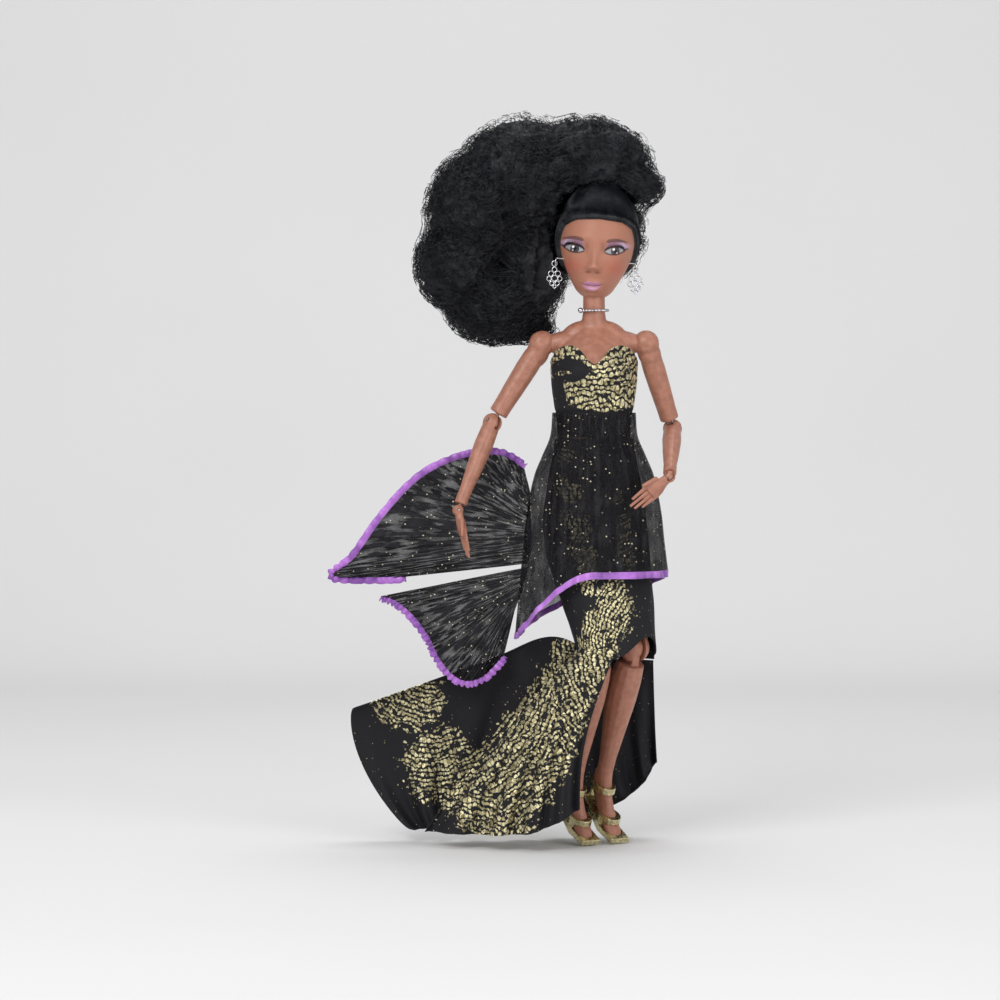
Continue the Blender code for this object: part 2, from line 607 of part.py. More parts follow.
def build_leg(side, frames, pelvis):
    sign = -1 if side == "right" else 1
    hip = add_frame(side + "_hip", (sign * HIP_SPACING / 2, 0.0, HIP_Z), turned(-HIP_BEND, "X"), frames["pelvis"])
    knee_shift = sign * (KNEE_SPACING - HIP_SPACING) / 2
    ankle_shift = sign * (ANKLE_SPACING - KNEE_SPACING) / 2
    knee = add_frame(side + "_knee", (knee_shift, 0.0, -THIGH_LENGTH), turned(KNEE_BEND, "X"), hip)
    ankle = add_frame(side + "_ankle", (ankle_shift * ANKLE_SHARE, 0.0, -SHIN_LENGTH * ANKLE_SHARE), parent=knee)
    rings = [leg_ring(row, THIGH_LENGTH, THIGH_WIDTH, THIGH_WIDTH, knee_shift, 16) for row in THIGH_SHARES]
    thigh = add_object(side + "_thigh", loft_mesh(rings), SKIN, hip)
    head = add_object(side + "_hip_ball", ball_mesh(HIP_RADIUS, (0.0, 0.0, 0.0)), parent=hip)
    boolean(thigh, head, "UNION")
    cap = add_object(side + "_knee_ball", ball_mesh(KNEE_RADIUS, (knee_shift, 0.0, -THIGH_LENGTH)), parent=hip)
    boolean(thigh, cap, "UNION")
    room = add_object(side + "_thigh_room", thigh_sweep_mesh(), parent=frames["pelvis"])
    room.location = (sign * HIP_SPACING / 2, 0.0, HIP_Z)
    boolean(pelvis, room)
    bore = add_object(side + "_hip_bore", cylinder_mesh(HIP_AXLE_RADIUS + GAP, -X_AXIS * HIP_AXLE_LENGTH,
                                                        X_AXIS * HIP_AXLE_LENGTH, 12), parent=hip)
    boolean(thigh, bore)
    rings = [leg_ring(row, SHIN_LENGTH, SHIN_WIDTH, SHIN_WIDTH, ankle_shift, 14) for row in SHIN_SHARES]
    shin = add_object(side + "_shin", loft_mesh(rings), SKIN, knee)
    foot = add_object(side + "_foot", loft_mesh(foot_rings(0.0)), parent=ankle)
    boolean(shin, foot, "UNION")
    half = X_AXIS * (KNEE_TONGUE_THICKNESS / 2)
    tongue = add_object(side + "_knee_tongue", cylinder_mesh(KNEE_TONGUE_RADIUS, -half, half, 20), parent=knee)
    reach = KNEE_TONGUE_RADIUS * 0.8
    neck = add_object(side + "_tongue_neck", box_mesh((-half.x * 0.98, -reach, -SHIN_LENGTH * 0.16),
                                                      (half.x * 0.98, reach, 0.0)), parent=knee)
    boolean(shin, tongue, "UNION")
    boolean(shin, neck, "UNION")
    pin_half = X_AXIS * (KNEE_PIN_LENGTH / 2)
    hole = add_object(side + "_knee_pin_hole", cylinder_mesh(KNEE_PIN_RADIUS + GAP, -pin_half * 2, pin_half * 2, 12),
                      parent=knee)
    slot_half = half.x + GAP
    wide = KNEE_RADIUS * 2
    slot = add_object(side + "_knee_slot", box_mesh((knee_shift - slot_half, -wide, -THIGH_LENGTH - wide),
                                                    (knee_shift + slot_half, wide,
                                                     -THIGH_LENGTH + KNEE_TONGUE_RADIUS + GAP)), parent=hip)
    boolean(thigh, slot)
    boolean(thigh, hole)
    boolean(shin, hole)
    add_object(side + "_knee_pin", cylinder_mesh(KNEE_PIN_RADIUS, -pin_half, pin_half, 12), SILVER, knee)
    build_shoe(side, ankle)
    return hip, knee


def build_hip_axle(frames, pelvis):
    half = X_AXIS * (HIP_AXLE_LENGTH / 2)
    centre = Vector((0.0, 0.0, HIP_Z))
    add_object("hip_axle", cylinder_mesh(HIP_AXLE_RADIUS, centre - half, centre + half, 12), SILVER, frames["pelvis"])
    bore = add_object("hip_axle_bore", cylinder_mesh(HIP_AXLE_RADIUS + GAP, centre - half * 2, centre + half * 2, 12),
                      parent=frames["pelvis"])
    boolean(pelvis, bore)


# Head, hair and jewels

CHIN_SHARES = (0.40, 0.42)
NOSE_SHARES = (0.13, -0.16, 0.16)
# Curl masses: centre and half size across, up and back, as shares of the hair's width, height and depth,
# measured from the middle of the skull
CURL_SHARES = (
    ((-0.06, 0.35, 0.10), (0.26, 0.19, 0.36)), ((-0.32, 0.26, 0.12), (0.27, 0.26, 0.40)),
    ((-0.50, 0.10, 0.14), (0.21, 0.27, 0.38)), ((-0.56, -0.13, 0.16), (0.18, 0.20, 0.36)),
    ((-0.42, -0.26, 0.28), (0.20, 0.20, 0.32)), ((-0.27, -0.10, 0.28), (0.17, 0.26, 0.34)),
    ((0.13, 0.26, 0.12), (0.13, 0.10, 0.28)), ((0.00, 0.06, 0.44), (0.20, 0.24, 0.26)),
    ((-0.34, -0.37, 0.42), (0.20, 0.09, 0.20)))


def head_point(direction, offset=0.0):
    """The doll's head in its own frame: a unit direction becomes a point on the face or skull."""
    x, y, z = direction
    down = max(0.0, -z)
    chin = 1.0 - CHIN_SHARES[0] * down * down
    back = 1.0 - (CHIN_SHARES[1] * down * down if y > 0 else 0.12 * down)
    point = Vector((x * chin * (HEAD_WIDTH / 2 + offset), y * back * (HEAD_DEPTH / 2 + offset),
                    z * (HEAD_HEIGHT / 2 + offset)))
    wide, level, tall = NOSE_SHARES
    if y < 0:
        point.y -= NOSE_LENGTH * exp(-(x / wide) ** 2 - ((z - level) / tall) ** 2)
    return point + Vector((0.0, 0.0, HEAD_RISE))


def skull_mesh(offset, segments=22, rings=13):
    bm = bmesh.new()
    bmesh.ops.create_uvsphere(bm, u_segments=segments, v_segments=rings, radius=1.0)
    for vert in bm.verts:
        vert.co = head_point(vert.co, offset)
    return bm


def build_head(frames, chest):
    head = add_object("head", skull_mesh(0.0), SKIN, frames["head"])
    cavity_top = TORSO_HEIGHT - NOD_Z + NECK_CAVITY_DEPTH
    cavity = add_object("neck_cavity", cylinder_mesh(NECK_CAVITY_RADIUS, (0.0, 0.0, -OVERRUN), (0.0, 0.0, cavity_top),
                                                     20), parent=frames["neck"])
    boolean(head, cavity)
    add_peg_joint("neck_peg", "neck_pin", NECK_PEG, frames["neck"], frames["head"], -Z_AXIS, X_AXIS, chest, head,
                  NECK_CAVITY_RADIUS, -Z_AXIS, NECK_PEG[0] + GAP)
    return head


def build_hair(frames):
    top = HEAD_RISE + HEAD_HEIGHT
    cap = add_object("hair_cap", skull_mesh(GAP + HAIR_THICKNESS), BLACK_HAIR, frames["head"])
    skull = add_object("skull_room", skull_mesh(GAP), parent=frames["head"])
    boolean(cap, skull)
    hairline = HAIRLINE_Z - NOD_Z
    face = add_object("face_room", box_mesh((-HEAD_WIDTH, -HEAD_DEPTH, -OVERRUN), (HEAD_WIDTH, HEAD_DEPTH * 0.02,
                                                                                   hairline)), parent=frames["head"])
    boolean(cap, face)
    nape = add_object("nape_room", box_mesh((-HEAD_WIDTH, -HEAD_DEPTH, -OVERRUN), (HEAD_WIDTH, HEAD_DEPTH,
                                                                                   HEAD_RISE * 0.28)),
                      parent=frames["head"])
    boolean(cap, nape)
    centre = Vector((0.0, 0.0, HEAD_RISE))
    curls = None
    for k, (place, size) in enumerate(CURL_SHARES):
        spot = centre + Vector((place[0] * HAIR_WIDTH, place[2] * HAIR_DEPTH, place[1] * HAIR_HEIGHT))
        scale = (size[0] * HAIR_WIDTH / HAIR_HEIGHT, size[2] * HAIR_DEPTH / HAIR_HEIGHT, size[1])
        mass = ball_mesh(HAIR_HEIGHT, spot, segments=12, rings=7)
        for vert in mass.verts:
            vert.co = spot + Vector([(vert.co[j] - spot[j]) * scale[j] for j in range(3)])
        if curls is None:
            curls = add_object("hair_curls", mass, BLACK_HAIR, frames["head"])
        else:
            boolean(curls, add_object(f"curl_mass_{k}", mass, parent=frames["head"]), "UNION")
    cap_room = add_object("cap_room", skull_mesh(2 * GAP + HAIR_THICKNESS), parent=frames["head"])
    boolean(curls, cap_room)
    fringe = add_object("fringe_room", box_mesh((-HEAD_WIDTH * 0.52, -top, -top),
                                                (HEAD_WIDTH, HEAD_DEPTH * 0.04, CURL_LINE_Z - NOD_Z)),
                        parent=frames["head"])
    boolean(curls, fringe)
    ear = add_object("ear_room", box_mesh((-HEAD_WIDTH * 0.52 - DROP_WIDTH * 1.3, -top, -top),
                                          (0.0, HEAD_DEPTH * 0.06, HEAD_RISE * 0.85)), parent=frames["head"])
    boolean(curls, ear)
    under = add_object("neck_room", box_mesh((-HEAD_WIDTH * 0.34, -top, -top), (HEAD_WIDTH, top, HEAD_RISE * 0.20)),
                       parent=frames["head"])
    boolean(curls, under)
    return curls


def build_hair_clearance(curls, frames):
    """Keep the curls behind the near shoulder and off the back."""
    room = add_object("right_shoulder_room", ball_mesh(SHOULDER_RADIUS * 1.5,
                                                       (-SHOULDER_SPACING / 2, 0.0, SHOULDER_Z)),
                      parent=frames["chest"])
    boolean(curls, room)
    back = add_object("back_room", loft_mesh([TORSO.ring(z, 4 * GAP) for z in TORSO.heights()]),
                      parent=frames["chest"])
    boolean(curls, back)


def build_choker(frames):
    neck_width, _, shift = TORSO.at(CHOKER_Z)
    radius = neck_width + GAP + BEAD_RADIUS
    steps = BEAD_COUNT * 4
    sides = 6
    bm = bmesh.new()
    rows = []
    for i in range(steps):
        turn = 2 * pi * i / steps
        swell = WIRE_RADIUS + (BEAD_RADIUS - WIRE_RADIUS) * abs(sin(BEAD_COUNT * turn / 2)) ** 0.6
        row = []
        for k in range(sides):
            tube = 2 * pi * k / sides
            reach = radius + swell * cos(tube)
            row.append(bm.verts.new((reach * cos(turn), reach * sin(turn) + shift,
                                     CHOKER_Z + swell * sin(tube))))
        rows.append(row)
    for i in range(steps):
        for k in range(sides):
            bm.faces.new((rows[i - 1][k - 1], rows[i][k - 1], rows[i][k], rows[i - 1][k]))
    add_object("choker", bm, SILVER, frames["chest"])


def ring_mesh(major, minor, centre, turn, count=12, sides=6):
    bm = bmesh.new()
    rows = []
    for i in range(count):
        around = 2 * pi * i / count
        rows.append([])
        for k in range(sides):
            tube = 2 * pi * k / sides
            local = Vector(((major + minor * cos(tube)) * cos(around), minor * sin(tube),
                            (major + minor * cos(tube)) * sin(around)))
            rows[-1].append(bm.verts.new(turn @ local + Vector(centre)))
    for i in range(count):
        for k in range(sides):
            bm.faces.new((rows[i - 1][k - 1], rows[i][k - 1], rows[i][k], rows[i - 1][k]))
    return bm


def build_earring(side, frames, head):
    """A hook in the ear lobe and a pierced drop that swings from it."""
    sign = -1 if side == "right" else 1
    lobe = head_point(Vector((sign * 0.92, -0.06, -0.38)).normalized())
    outside = lobe.x + sign * (HAIR_THICKNESS + 2 * GAP + LINK_RADIUS * 0.6)
    centre = Vector((outside, lobe.y - LINK_RADIUS * 2, lobe.z))
    hook = add_object(side + "_earring_hook", ring_mesh(LINK_RADIUS, WIRE_RADIUS, centre, turned(90.0, "Z")),
                      SILVER, frames["head"])
    start = centre + Vector((0.0, 0.0, LINK_RADIUS))
    post = add_object(side + "_earring_post", cylinder_mesh(WIRE_RADIUS * 0.9, start,
                                                            start - X_AXIS * sign * LINK_RADIUS * 4, 8),
                      parent=frames["head"])
    boolean(hook, post, "UNION")
    hole = add_object(side + "_ear_hole", cylinder_mesh(WIRE_RADIUS + GAP, start,
                                                        start - X_AXIS * sign * LINK_RADIUS * 4.4, 8),
                      parent=frames["head"])
    boolean(head, hole)
    swing = add_frame(side + "_earring_swing", centre - Z_AXIS * LINK_RADIUS, parent=frames["head"])
    level = 2 * WIRE_RADIUS + GAP - LINK_RADIUS
    drop = add_object(side + "_earring_drop", ring_mesh(LINK_RADIUS, WIRE_RADIUS, (0.0, 0.0, level),
                                                        Matrix.Identity(4)), SILVER, swing)
    top = level - LINK_RADIUS
    outline = ((0.0, top + WIRE_RADIUS / 2), (0.5, top - 0.45 * DROP_LENGTH), (0.28, top - 0.80 * DROP_LENGTH),
               (0.0, top - DROP_LENGTH))
    points = [(x * DROP_WIDTH, z) for x, z in outline] + [(-x * DROP_WIDTH, z) for x, z in outline[-2:0:-1]]
    rings = [[Vector((x, y, z)) for x, z in points] for y in (-DROP_THICKNESS / 2, DROP_THICKNESS / 2)]
    plate = add_object(side + "_drop_plate", loft_mesh(rings), parent=swing)
    boolean(drop, plate, "UNION")
    for k, (x, z, size) in enumerate(((0.0, 0.33, 0.11), (-0.19, 0.52, 0.09), (0.19, 0.52, 0.09), (0.0, 0.70, 0.10))):
        spot = Vector((x * DROP_WIDTH, 0.0, top - z * DROP_LENGTH))
        eye = add_object(f"{side}_drop_eye_{k}", cylinder_mesh(size * DROP_WIDTH, spot - Y_AXIS * DROP_THICKNESS,
                                                               spot + Y_AXIS * DROP_THICKNESS, 6), parent=swing)
        boolean(drop, eye)


# Gown

GOWN_SHARES = (
    (0.00, 0.385, 0.330, 0.000), (0.10, 0.420, 0.375, 0.000), (0.22, 0.475, 0.430, -0.010),
    (0.38, 0.520, 0.470, -0.020), (0.52, 0.520, 0.480, -0.090), (0.66, 0.485, 0.455, -0.230),
    (0.82, 0.430, 0.410, -0.390), (0.94, 0.395, 0.370, -0.510), (1.00, 0.400, 0.370, -0.545))
OVERSKIRT_SHARES = (
    (0.00, 0.312, 0.410, 0.000), (0.10, 0.358, 0.450, -0.01), (0.20, 0.410, 0.495, -0.01), (0.38, 0.460, 0.565, -0.02),
    (0.56, 0.485, 0.565, -0.07), (0.70, 0.505, 0.545, -0.17), (1.00, 0.540, 0.580, -0.26))
GOWN = Form([(-row[0], *row[1:]) for row in GOWN_SHARES], -GOWN_KNEE_FOOT_Z, GOWN_WIDTH, GOWN_DEPTH)
OVERSKIRT = Form([(-row[0], *row[1:]) for row in OVERSKIRT_SHARES],
                 OVERSKIRT_LEFT_DROP - OVERSKIRT_FRONT_Z, OVERSKIRT_WIDTH, OVERSKIRT_DEPTH)


def neckline(angle):
    """Height of the bodice's top edge: two peaks at the front, a dip between them, lower at the back."""
    front = max(0.0, -sin(angle))
    dip = BODICE_V_DEPTH * exp(-(cos(angle) / 0.30) ** 2) * front
    back = BODICE_BACK_DROP * max(0.0, sin(angle))
    armhole = BODICE_SIDE_DROP * cos(angle) ** 8
    return BODICE_TOP_Z - dip - back - armhole


def build_bodice(frames):
    count = 20
    rows = 10

    def rings(offset):
        result = []
        for k in range(rows + 1):
            result.append([])
            for i in range(count):
                angle = 2 * pi * i / count
                z = BODICE_FOOT_Z + (neckline(angle) - BODICE_FOOT_Z) * k / rows
                result[-1].append(torso_point(angle, z, offset))
        return result

    bodice = add_object("bodice", sleeve_mesh(rings(2 * GAP + CLOTH), rings(-2 * CLOTH)), GOLD_CLOTH, frames["chest"])
    chest_room = add_object("chest_room", torso_mesh(1.5 * GAP), parent=frames["chest"])
    boolean(bodice, chest_room)

    def strip(s, t):
        top = neckline(pi / 2) - CLOTH
        z = BODICE_FOOT_Z + CLOTH + (top - BODICE_FOOT_Z - CLOTH) * t
        half_depth = torso_point(pi / 2, z, 3 * GAP + 1.5 * CLOTH)
        return Vector(((s - 0.5) * CLOSURE_WIDTH, half_depth.y, z))

    sheet_object("back_closure", strip, 2, 8, CLOTH, BLACK_CLOTH, frames["chest"])


def sleeve_from(form, count, rows, height_of, offset, thickness):
    """A cloth tube on a form between two edges, height_of(angle, share down)."""
    def rings(extra):
        return [[form.point(2 * pi * i / count, height_of(2 * pi * i / count, k / rows), extra)
                 for i in range(count)] for k in range(rows + 1)]
    return sleeve_mesh(rings(offset + thickness), rings(offset))


def overskirt_hem(angle):
    """Hem height: highest at the front, dropping to the doll's right and the back."""
    left = max(0.0, -cos(angle)) ** 2
    back = max(0.0, sin(angle)) ** 2
    return OVERSKIRT_FRONT_Z - OVERSKIRT_LEFT_DROP * left - OVERSKIRT_BACK_DROP * back


def build_skirts(frames):
    pelvis = frames["pelvis"]
    add_object("gown_hips", sleeve_from(GOWN, 24, 6, lambda a, t: GOWN_TOP_Z + (GOWN_HIP_FOOT_Z - GOWN_TOP_Z) * t,
                                        0.0, CLOTH), BLACK_CLOTH, pelvis)
    top = GOWN_HIP_FOOT_Z - GAP
    add_object("gown_knees", sleeve_from(GOWN, 24, 3, lambda a, t: top + (GOWN_KNEE_FOOT_Z - top) * t, 0.0, CLOTH),
               GOLD_CLOTH, pelvis)
    add_object("overskirt", sleeve_from(OVERSKIRT, 30, 6,
                                        lambda a, t: OVERSKIRT_TOP_Z + (overskirt_hem(a) - OVERSKIRT_TOP_Z) * t,
                                        0.0, CLOTH), BLACK_CLOTH, frames["root"])
    add_object("hem_ribbon", sleeve_from(OVERSKIRT, 30, 1, lambda a, t: overskirt_hem(a) - GAP - RIBBON_WIDTH * t,
                                         -GAP / 2, RIBBON_THICKNESS), PURPLE_SATIN, frames["root"])


# Side fan, two layers; the edge points are shares of the fan's width and height from the hip
UPPER_FAN_EDGE_SHARES = (
    (-0.02, 0.22), (-0.14, 0.31), (-0.32, 0.29), (-0.52, 0.17), (-0.70, -0.07), (-0.86, -0.36), (-0.96, -0.47),
    (-0.80, -0.49), (-0.60, -0.48))
UPPER_FAN_ROOT_SHARES = ((0.010, 0.06), (-0.010, -0.10), (-0.024, -0.26), (-0.034, -0.40))
LOWER_FAN_EDGE_SHARES = (
    (-0.72, -0.60), (-0.62, -0.66), (-0.50, -0.84), (-0.44, -1.00), (-0.34, -1.14), (-0.22, -1.12),
    (-0.12, -0.98))
LOWER_FAN_ROOT_SHARES = ((-0.032, -0.42), (-0.042, -0.52), (-0.054, -0.62), (-0.073, -0.72))
FAN_ROOT_X = -29.5 * MM
FAN_ROOT_Z = -30.0 * MM


def fan_place(edge_shares, root_shares, start_y, reach_from, reach_to):
    """Points of a fan layer: s runs along its edge, t from the hip to the edge."""
    def place(s, t):
        edge = smooth_track(edge_shares, s)
        root = smooth_track(root_shares, s)
        share = reach_from + (reach_to - reach_from) * t
        x = FAN_ROOT_X + (root[0] + (edge[0] - root[0]) * share) * FAN_WIDTH
        z = FAN_ROOT_Z + (root[1] + (edge[1] - root[1]) * share) * FAN_HEIGHT
        y = start_y + FAN_WAVE * sin(2 * pi * FAN_WAVES * s) * min(share, 1.0) ** 1.5
        return Vector((x, y, z))
    return place


def edge_ribbon(edge_shares, root_shares, start_y):
    """The ribbon on a fan's edge, a steady width beyond it."""
    inner = fan_place(edge_shares, root_shares, start_y, 1.0, 1.0)

    def place(s, t):
        point = inner(s, 1.0)
        ahead = inner(min(s + 0.01, 1.0), 1.0)
        behind = inner(max(s - 0.01, 0.0), 1.0)
        run = (ahead - behind).normalized()
        outward = Vector((run.z, 0.0, -run.x))
        root = fan_place(edge_shares, root_shares, start_y, 0.0, 0.0)(s, 0.0)
        if outward.dot(point - root) < 0:
            outward = -outward
        return point + outward * (3 * GAP + RIBBON_WIDTH * t)
    return place


def build_fans(frames):
    upper_y = 2.0 * FAN_WAVE
    lower_y = -1.5 * FAN_WAVE
    sheet_object("upper_fan", fan_place(UPPER_FAN_EDGE_SHARES, UPPER_FAN_ROOT_SHARES, upper_y, 0.03, 1.0), 32, 2,
                 CLOTH, BLACK_CLOTH, frames["root"])
    sheet_object("upper_fan_ribbon", edge_ribbon(UPPER_FAN_EDGE_SHARES, UPPER_FAN_ROOT_SHARES, upper_y), 36, 1,
                 RIBBON_THICKNESS, PURPLE_SATIN, frames["root"])
    sheet_object("lower_fan", fan_place(LOWER_FAN_EDGE_SHARES, LOWER_FAN_ROOT_SHARES, lower_y, 0.01, 1.0), 28, 2,
                 CLOTH, BLACK_CLOTH, frames["root"])
    sheet_object("lower_fan_ribbon", edge_ribbon(LOWER_FAN_EDGE_SHARES, LOWER_FAN_ROOT_SHARES, lower_y), 30, 1,
                 RIBBON_THICKNESS, PURPLE_SATIN, frames["root"])


# Train: top and bottom edges from behind the doll's left knee round to its far tip, as shares of the train's
# width and height and, in the middle place, of its width in depth
TRAIN_TOP_SHARES = (
    (0.161, -0.061, -0.228), (0.091, -0.014, -0.228), (-0.014, -0.026, -0.228), (-0.092, -0.096, -0.228),
    (-0.243, -0.015, -0.260), (-0.457, 0.030, -0.310), (-0.800, 0.030, -0.500))
TRAIN_FOOT_SHARES = (
    (0.18, 0.16, -0.82), (0.10, 0.17, -1.00), (-0.06, 0.155, -1.12), (-0.22, 0.085, -1.17), (-0.40, 0.05, -1.17),
    (-0.53, 0.03, -1.17), (-0.62, 0.03, -1.17))
TRAIN_X = 4.0 * MM
TRAIN_Z = -82.0 * MM


def train_place(s, t):
    top = smooth_track(TRAIN_TOP_SHARES, s)
    foot = smooth_track(TRAIN_FOOT_SHARES, s)
    x, y, z = [top[k] + (foot[k] - top[k]) * t for k in range(3)]
    flare = TRAIN_FLARE * sin(pi * t) ** 0.6
    wave = TRAIN_WAVE * sin(2 * pi * TRAIN_WAVES * s) * t
    sideways = min(1.0, 2.0 * s)
    return Vector((TRAIN_X + x * TRAIN_WIDTH - flare * sideways, y * TRAIN_WIDTH + wave + flare,
                   TRAIN_Z + z * TRAIN_HEIGHT))


def build_train(frames):
    obj = sheet_object("train", train_place, 44, 6, CLOTH, GOLD_CLOTH)
    carry(obj, frames["right_knee"])


def build_doll():
    root = add_frame("doll")
    frames = {"root": root}
    frames["pelvis"] = add_frame("pelvis_frame", turn=turned(HIP_YAW, "Z"), parent=root)
    frames["chest"] = add_frame("chest_frame", parent=root)
    frames["neck"] = add_frame("neck_frame", (0.0, TORSO_DEPTH * 0.035, NOD_Z), turned(HEAD_ROLL, "Y"),
                               frames["chest"])
    frames["head"] = add_frame("head_frame", parent=frames["neck"])
    chest, pelvis = build_torso(frames)
    build_hip_axle(frames, pelvis)
    for side in ("right", "left"):
        build_arm(side, frames, chest)
        frames[side + "_hip"], frames[side + "_knee"] = build_leg(side, frames, pelvis)
    head = build_head(frames, chest)
    curls = build_hair(frames)
    build_hair_clearance(curls, frames)
    for side in ("right", "left"):
        build_earring(side, frames, head)
    build_choker(frames)
    build_bodice(frames)
    build_skirts(frames)
    build_fans(frames)
    build_train(frames)


build_doll()
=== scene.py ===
"""Looks of a jointed fashion doll in a fishtail evening gown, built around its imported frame.

Metres, +Z up. The doll faces -Y and the origin is the centre of its waist.
"""
from math import cos, exp, pi, radians, sin

import bpy
import numpy as np
from mathutils import Matrix, Vector, noise


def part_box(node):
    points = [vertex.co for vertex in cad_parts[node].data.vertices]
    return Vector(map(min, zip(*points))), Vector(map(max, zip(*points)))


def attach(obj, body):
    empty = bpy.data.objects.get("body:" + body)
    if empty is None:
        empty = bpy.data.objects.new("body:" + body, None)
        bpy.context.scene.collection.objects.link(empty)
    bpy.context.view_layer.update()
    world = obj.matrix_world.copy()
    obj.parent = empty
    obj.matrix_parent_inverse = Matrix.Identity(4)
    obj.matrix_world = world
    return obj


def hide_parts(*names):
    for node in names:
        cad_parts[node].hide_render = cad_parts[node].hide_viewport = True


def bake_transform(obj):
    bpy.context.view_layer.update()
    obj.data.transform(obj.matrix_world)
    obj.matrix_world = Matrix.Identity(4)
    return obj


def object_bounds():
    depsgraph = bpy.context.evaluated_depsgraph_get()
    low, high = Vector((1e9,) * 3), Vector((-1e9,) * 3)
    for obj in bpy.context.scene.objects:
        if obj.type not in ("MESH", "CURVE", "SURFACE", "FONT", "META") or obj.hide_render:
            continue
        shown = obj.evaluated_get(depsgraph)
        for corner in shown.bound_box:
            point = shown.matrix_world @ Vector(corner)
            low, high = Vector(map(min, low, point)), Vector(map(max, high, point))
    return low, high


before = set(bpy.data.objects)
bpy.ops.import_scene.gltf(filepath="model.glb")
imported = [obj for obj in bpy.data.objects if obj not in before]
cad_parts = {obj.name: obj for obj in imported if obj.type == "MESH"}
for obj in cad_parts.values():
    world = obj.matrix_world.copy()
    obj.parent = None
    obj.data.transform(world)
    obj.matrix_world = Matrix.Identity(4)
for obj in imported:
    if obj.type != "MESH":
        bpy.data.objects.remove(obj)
CAD_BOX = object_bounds()

MM = 0.001
GAP = 0.3 * MM
CLOTH = 0.8 * MM
RANDOM = np.random.default_rng(7)

# Forms of the doll, as shares of each form's height, width and depth
TORSO_SIZE = (61.0 * MM, 37.0 * MM, 27.0 * MM)
TORSO_SHARES = (
    (0.013, 0.400, 0.400, 0.000), (0.130, 0.420, 0.415, 0.000), (0.260, 0.455, 0.445, -0.010),
    (0.380, 0.480, 0.465, -0.020), (0.500, 0.490, 0.470, -0.020), (0.610, 0.490, 0.430, 0.000),
    (0.690, 0.450, 0.360, 0.020), (0.750, 0.340, 0.290, 0.040), (0.800, 0.200, 0.230, 0.060),
    (0.850, 0.150, 0.205, 0.055), (0.920, 0.135, 0.185, 0.040), (1.000, 0.135, 0.185, 0.035))
BUST_DEPTH = 5.5 * MM
BUST_SPREAD = 8.6 * MM
BUST_SIZE = 7.0 * MM
BUST_Z = 29.0 * MM
GOWN_SIZE = (100.0 * MM, 46.0 * MM, 38.0 * MM)
GOWN_SHARES = (
    (0.00, 0.385, 0.330, 0.000), (-0.10, 0.420, 0.375, 0.000), (-0.22, 0.475, 0.430, -0.010),
    (-0.38, 0.520, 0.470, -0.020), (-0.52, 0.520, 0.480, -0.090), (-0.66, 0.485, 0.455, -0.230),
    (-0.82, 0.430, 0.410, -0.390), (-0.94, 0.395, 0.370, -0.510), (-1.00, 0.400, 0.370, -0.545))
OVERSKIRT_SIZE = (88.0 * MM, 64.0 * MM, 44.0 * MM)
OVERSKIRT_SHARES = (
    (0.125, 0.286, 0.316, 0.000), (0.00, 0.300, 0.368, 0.000), (-0.10, 0.355, 0.440, -0.01),
    (-0.20, 0.410, 0.495, -0.01),
    (-0.38, 0.460, 0.565, -0.02), (-0.56, 0.485, 0.565, -0.07), (-0.70, 0.505, 0.545, -0.17),
    (-1.00, 0.540, 0.580, -0.26))
HIP_YAW = 30.0

# Head and hair
HEAD_HEIGHT = 51.0 * MM
HEAD_WIDTH = 33.5 * MM
HEAD_DEPTH = 39.0 * MM
HEAD_RISE = 21.0 * MM
NOD_POINT = (0.0, 0.945 * MM, 66.0 * MM)
HEAD_ROLL = 4.0
HAIR_THICKNESS = 2.2 * MM
CURL_LINE = 41.0 * MM
HAIR_SIZE = (110.0 * MM, 52.0 * MM, 105.0 * MM)
CURL_SHARES = (
    ((-0.06, 0.35, 0.10), (0.26, 0.19, 0.36)), ((-0.32, 0.26, 0.12), (0.27, 0.26, 0.40)),
    ((-0.50, 0.10, 0.14), (0.21, 0.27, 0.38)), ((-0.56, -0.13, 0.16), (0.18, 0.20, 0.36)),
    ((-0.42, -0.26, 0.28), (0.20, 0.20, 0.32)), ((-0.27, -0.10, 0.28), (0.17, 0.26, 0.34)),
    ((0.13, 0.26, 0.12), (0.13, 0.10, 0.28)), ((0.00, 0.06, 0.44), (0.20, 0.24, 0.26)),
    ((-0.34, -0.37, 0.42), (0.20, 0.09, 0.20)))
CURL_COUNT = 6400
CURL_PIECES = 4
FACE_X = -1.4

# Gown edges
BODICE_TOP = 41.0 * MM
BODICE_FOOT = -2.0 * MM
BODICE_V_DEPTH = 8.5 * MM
BODICE_BACK_DROP = 9.0 * MM
BODICE_SIDE_DROP = 7.5 * MM
SEAM_Z = 11.0
GOWN_TOP = -1.0 * MM
GOWN_FOOT = -100.0 * MM
OVERSKIRT_TOP = 10.5 * MM
OVERSKIRT_FRONT = -60.0 * MM
OVERSKIRT_LEFT_DROP = 28.0 * MM
OVERSKIRT_BACK_DROP = 12.0 * MM
RIBBON_WIDTH = 3.0 * MM
FAN_WIDTH = 92.0 * MM
FAN_HEIGHT = 70.0 * MM
FAN_WAVE = 2.2 * MM
FAN_WAVES = 5
FAN_ROOT_X = -29.5 * MM
FAN_ROOT_Z = -30.0 * MM
UPPER_FAN_EDGE_SHARES = (
    (-0.02, 0.22), (-0.14, 0.31), (-0.32, 0.29), (-0.52, 0.17), (-0.70, -0.07), (-0.86, -0.36),
    (-0.96, -0.47),
    (-0.80, -0.49), (-0.60, -0.48))
UPPER_FAN_ROOT_SHARES = ((0.010, 0.06), (-0.010, -0.10), (-0.024, -0.26), (-0.034, -0.40))
